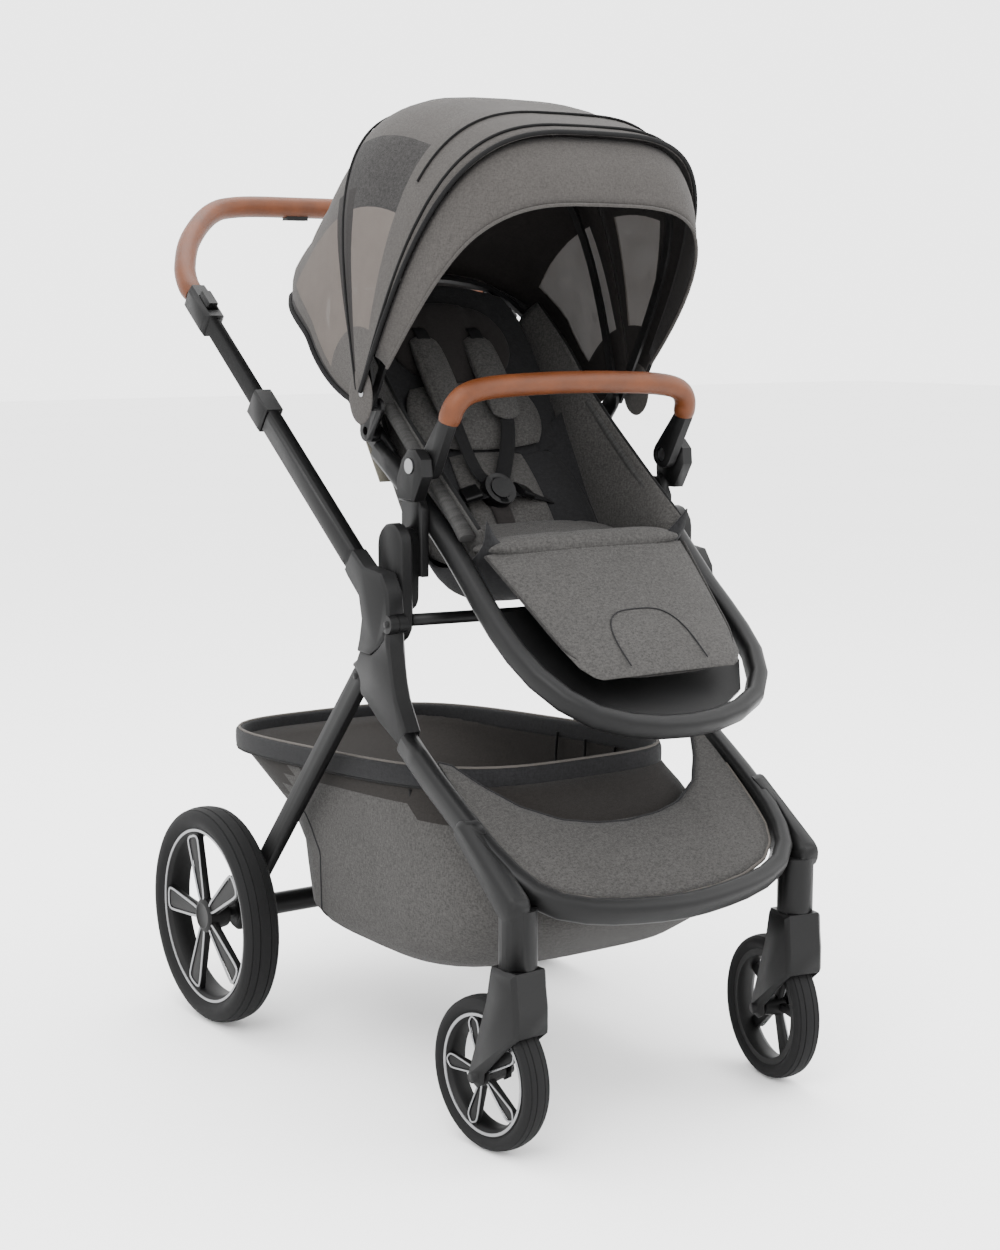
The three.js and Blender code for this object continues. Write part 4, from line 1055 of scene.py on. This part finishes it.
# ---- wheels -------------------------------------------------------------------------------------------------
class STROLLER_OT_wheels(bpy.types.Operator):
    """Turns the tyres and rims and sets the silver-lined spokes"""

    bl_idname = "stroller.wheels"
    bl_label = "Wheels"

    def execute(self, context):
        kinds = {
            "rear": dict(radius=146, half=24.8, rim=118.7, width=17, hub=23, spoke=(24, 107, 8, 14.5),
                line=1.9, out=15.5, deep=5),
            "front": dict(radius=90, half=17.5, rim=72.2, width=13, hub=13, spoke=(13, 65, 4.2, 7.8),
                line=1.15, out=11.5, deep=4),
        }
        for end, size in kinds.items():
            for side, sign in (("left", 1), ("right", -1)):
                joint = JOINTS["%s_wheel_spin_%s" % (end, side)]
                body = "%s_wheel_%s" % (end, side)
                self.wheel(end + "_", side, size, Vector(joint["pos_m"]),
                    Vector(joint["axis"]).normalized() * sign, body)
        return {"FINISHED"}

    def wheel(self, end, side, size, centre, axis, body):
        up = (Vector((0, 0, 1)) - axis * axis.z).normalized()
        on = axis.cross(up)
        r, h, m = size["radius"], size["half"], size["rim"]

        def place(turn, reach, beside, out):
            way = up * math.cos(turn) + on * math.sin(turn)
            return centre + (way * reach + way.cross(axis) * beside + axis * out) * MM

        d = r - m
        half = [(0.70 * h, m), (0.93 * h, m + 0.22 * d), (h, m + 0.45 * d), (0.97 * h, m + 0.62 * d),
            (0.90 * h, m + 0.7 * d),
                (0.885 * h, m + 0.73 * d), (0.87 * h, m + 0.76 * d), (0.74 * h, r - 0.14 * d),
                (0.70 * h, r - 0.17 * d),
                (0.66 * h, r - 0.10 * d), (0.36 * h, r - 0.03 * d), (0.32 * h, r - 0.09 * d),
                (0.28 * h, r - 0.015 * d)]
        profile = half + [(0.0, r)] + [(-a, b) for a, b in reversed(half)]
        profile.append(profile[0])
        tyre = spun(end + "tyre_" + side + "_turned", profile, centre, axis, 96)
        dress(tyre, "tyre", body=body, hides=[end + "tyre_" + side])
        w = size["width"]
        ring = spun(end + "rim_ring_" + side,
            [(-w, m - 8), (-w, m), (w, m), (w, m - 5), (w - 4, m - 8), (w - 6, m - 9.5), (-w + 4, m - 9.5),
                (-w, m - 8)], centre, axis, 96)
        dress(ring, "rim", body=body, hides=[end + "rim_" + side])
        line = spun(end + "rim_line_" + side,
            [(w - 1, m - 5.2), (w + 1.0, m - 4.8), (w + 1.2, m - 1.4), (w - 1, m - 1.0), (w - 1, m - 5.2)],
            centre, axis, 96)
        dress(line, "silver", body=body)
        hub = size["hub"]
        o = size["out"]
        cap = [(-14, hub * 0.8), (o - 5, hub), (o + 1, hub), (o + 3.5, hub - 3), (o + 4, hub - 6),
            (o + 3, hub - 7.5), (o + 3.4, 0)]
        cap = [(-14, 0)] + cap
        dress(spun(end + "hub_" + side, cap, centre, axis, 48), "rim", body=body)
        low, high, narrow, wide = size["spoke"]
        plates, lines = [], []
        for k in range(5):
            turn = 2 * math.pi * k / 5 + 0.3
            rows = []
            for i in range(9):
                reach = lerp(hub - 5, m - 6, i / 8)
                across = lerp(narrow, wide, max(0.0, (reach - low) / (high - low))) + 0.6
                rows.append([place(turn, reach, a, o - size["deep"] + b)
                    for a, b in squircle(across, size["deep"], 6, 16)])
            bar = grid("bar", rows, closed=True)
            mesh = bmesh.new()
            mesh.from_mesh(bar.data)
            mesh.verts.ensure_lookup_table()
            mesh.faces.new([mesh.verts[j] for j in range(16)])
            mesh.faces.new([mesh.verts[8 * 16 + j] for j in range(16)])
            bmesh.ops.recalc_face_normals(mesh, faces=mesh.faces)
            mesh.to_mesh(bar.data)
            mesh.free()
            plates.append(smooth_by(bar, 40))
            corners = []
            for reach, beside in ((low, narrow - 2), (lerp(low, high, 0.5), lerp(narrow, wide, 0.5)),
                (high - 7, wide),
                                  (high, wide - 5), (high + 1, 0), (high, 5 - wide), (high - 7, -wide),
                                  (lerp(low, high, 0.5), -lerp(narrow, wide, 0.5)), (low, 2 - narrow),
                                  (low - 3, 0)):
                corners.append(place(turn, reach, beside, o + 0.7))
            lines.append(sweep("line", curve_through(corners, 60, closed=True),
                squircle(size["line"], 1.0, 3, 8), closed=True, up=axis))
        dress(joined(end + "spokes_" + side, plates), "rim", body=body)
        dress(joined(end + "spoke_lines_" + side, lines), "silver", body=body)


# ---- grips and refined frame --------------------------------------------------------------------------------
class STROLLER_OT_grips(bpy.types.Operator):
    """Wraps the handle and bumper bar in stitched leather"""

    bl_idname = "stroller.grips"
    bl_label = "Leather grips"

    def execute(self, context):
        look = context.scene.stroller
        reach = 630
        handle = [TUBE(x, reach + s, h) for x, s, h in (
            (235, 1, 0), (235, 24, 0), (226, 60, 3), (196, 116, 7), (144, 172, 10), (95, 190, 12),
            (0, 193, 12))]
        bumper = [at(x, y, z) for x, y, z in (
            (175, 139, 823), (171, 132, 842), (156, 128, 856), (122, 127, 863), (60, 128, 866),
            (0, 128, 867))]
        for name, half, radius, body, node in (
            ("handle_leather", handle, look.grip / MM, "handle", "handle_grip"),
            ("bumper_leather", bumper, 13.3, "bumper", "bumper_bar"),
        ):
            whole = half + [Vector((-p.x, p.y, p.z)) for p in reversed(half[:-1])]
            path = curve_through(whole, 110)
            taper = lambda t: 1 - 0.10 * max(0.0, 1 - min(t, 1 - t) / 0.012)
            dress(sweep(name, path, circle(radius, 28), up=(0, -0.5, 0.86), scale=taper), "leather",
                body=body, hides=[node])
            under = curve_through([p + Vector((0, 0.0, -radius * MM * 0.985)) for p in whole], 110)
            dress(sweep(name + "_seam", under[6:-6], circle(0.8, 6)), "patch", body=body)
        return {"FINISHED"}


class STROLLER_OT_frame(bpy.types.Operator):
    """Smooths and finishes the tubes, castings, housings and small parts of the frame"""

    bl_idname = "stroller.frame"
    bl_label = "Frame"

    def execute(self, context):
        done = {"canopy_rear_panel", "canopy_front_panel", "canopy_visor", "storage_basket", "basket_rim",
            "basket_front_panel",
                "seat_bucket", "seat_pad", "back_pad", "shoulder_pads", "calf_rest", "handle_grip",
                "bumper_bar"}
        body_of = {node: body for body, nodes in frame["record"]["behaviour"]["bodies"].items()
            for node in nodes}
        for name, source in frame["nodes"].items():
            if name in done or "tyre" in name or "_rim_" in name:
                continue
            finish = "plastic"
            if name.startswith(("front_frame_tube", "rear_leg", "rear_axle", "main_tube", "handle_tube",
                "crossbar", "seat_frame", "backrest_frame")):
                finish = "frame"
            elif name.startswith("bumper_button"):
                finish = "silver"
            elif name in ("harness_buckle", "buckle_button"):
                finish = "satin"
            copy = source.copy()
            copy.data = source.data.copy()
            copy.parent = None
            copy.name = copy.data.name = name + "_finished"
            copy.matrix_world = Matrix.Identity(4)
            context.scene.collection.objects.link(copy)
            active(copy)
            bpy.ops.object.mode_set(mode="EDIT")
            bpy.ops.mesh.select_all(action="SELECT")
            bpy.ops.mesh.remove_doubles(threshold=MERGE)
            bpy.ops.mesh.tris_convert_to_quads(face_threshold=0.5, shape_threshold=0.8)
            bpy.ops.object.mode_set(mode="OBJECT")
            smooth_by(copy, 38)
            dress(copy, finish, body=body_of[name], hides=[name])
        return {"FINISHED"}


# ---- stage --------------------------------------------------------------------------------------------------
class STROLLER_OT_stage(bpy.types.Operator):
    """Sets the pale floor, the soft lights and the camera"""

    bl_idname = "stroller.stage"
    bl_label = "Stage"

    def execute(self, context):
        back = Vector((-0.5598, -0.8161, 0.1435)).normalized()
        right = Vector((0, 0, 1)).cross(back).normalized()
        above = back.cross(right)
        data = bpy.data.cameras.new("camera")
        data.lens = 62.04
        data.sensor_width = 36
        camera = bpy.data.objects.new("camera", data)
        context.scene.collection.objects.link(camera)
        camera.matrix_world = Matrix.Translation(Vector((-1.539, -1.955 + SHIFT, 0.949))) @ Matrix((right,
            above, back)).transposed().to_4x4()
        context.scene.camera = camera
        bpy.ops.object.select_all(action="DESELECT")
        bpy.ops.mesh.primitive_plane_add(size=FLOOR_WIDTH, location=(0, 0, -0.0005))
        floor = context.active_object
        floor.name = "floor"
        pale = Finish("pale_floor", 0.85)
        pale.fix("Base Color", pale.mix(pale.noise(0.8), (0.86, 0.86, 0.86, 1), (0.9, 0.9, 0.9, 1)))
        floor.data.materials.append(pale.material)
        world = bpy.data.worlds.new("studio")
        context.scene.world = world
        world.use_nodes = True
        world.node_tree.nodes["Background"].inputs["Color"].default_value = (1, 1, 1, 1)
        world.node_tree.nodes["Background"].inputs["Strength"].default_value = STUDIO_STRENGTH
        for name, spot, aim, width, power in (
            ("key", (-2.4, -2.2, 3.2), (0, 0, 0.6), 2.2, 150),
            ("fill", (2.8, -1.6, 2.2), (0, 0, 0.6), 2.4, 60),
            ("top", (0.2, 0.6, 3.6), (0, 0, 0.6), 2.6, 120),
        ):
            lamp = bpy.data.lights.new(name, "AREA")
            lamp.energy, lamp.size = power, width
            light = bpy.data.objects.new(name, lamp)
            context.scene.collection.objects.link(light)
            light.location = spot
            light.rotation_euler = (Vector(spot) - Vector(aim)).to_track_quat("Z", "Y").to_euler()
        return {"FINISHED"}


OPERATORS = (
    STROLLER_OT_stage, STROLLER_OT_canopy, STROLLER_OT_seat, STROLLER_OT_calf, STROLLER_OT_harness,
    STROLLER_OT_basket,
    STROLLER_OT_wheels, STROLLER_OT_grips, STROLLER_OT_frame,
)


class STROLLER_PT_panel(bpy.types.Panel):
    """Lists the stroller's sizes, colours and pieces"""

    bl_idname = "STROLLER_PT_panel"
    bl_label = "Stroller"
    bl_space_type = "VIEW_3D"
    bl_region_type = "UI"
    bl_category = "Stroller"

    def draw(self, context):
        for name in StrollerLook.__annotations__:
            self.layout.prop(context.scene.stroller, name)
        for operator in OPERATORS:
            self.layout.operator(operator.bl_idname)


CLASSES = (StrollerLook,) + OPERATORS + (STROLLER_PT_panel,)


def register():
    for kind in CLASSES:
        bpy.utils.register_class(kind)
    bpy.types.Scene.stroller = bpy.props.PointerProperty(type=StrollerLook)


def unregister():
    del bpy.types.Scene.stroller
    for kind in reversed(CLASSES):
        bpy.utils.unregister_class(kind)


def main():
    register()
    finishes(bpy.context.scene.stroller)
    for operator in OPERATORS:
        group, call = operator.bl_idname.split(".")
        getattr(getattr(bpy.ops, group), call)()


if __name__ == "__main__":
    main()
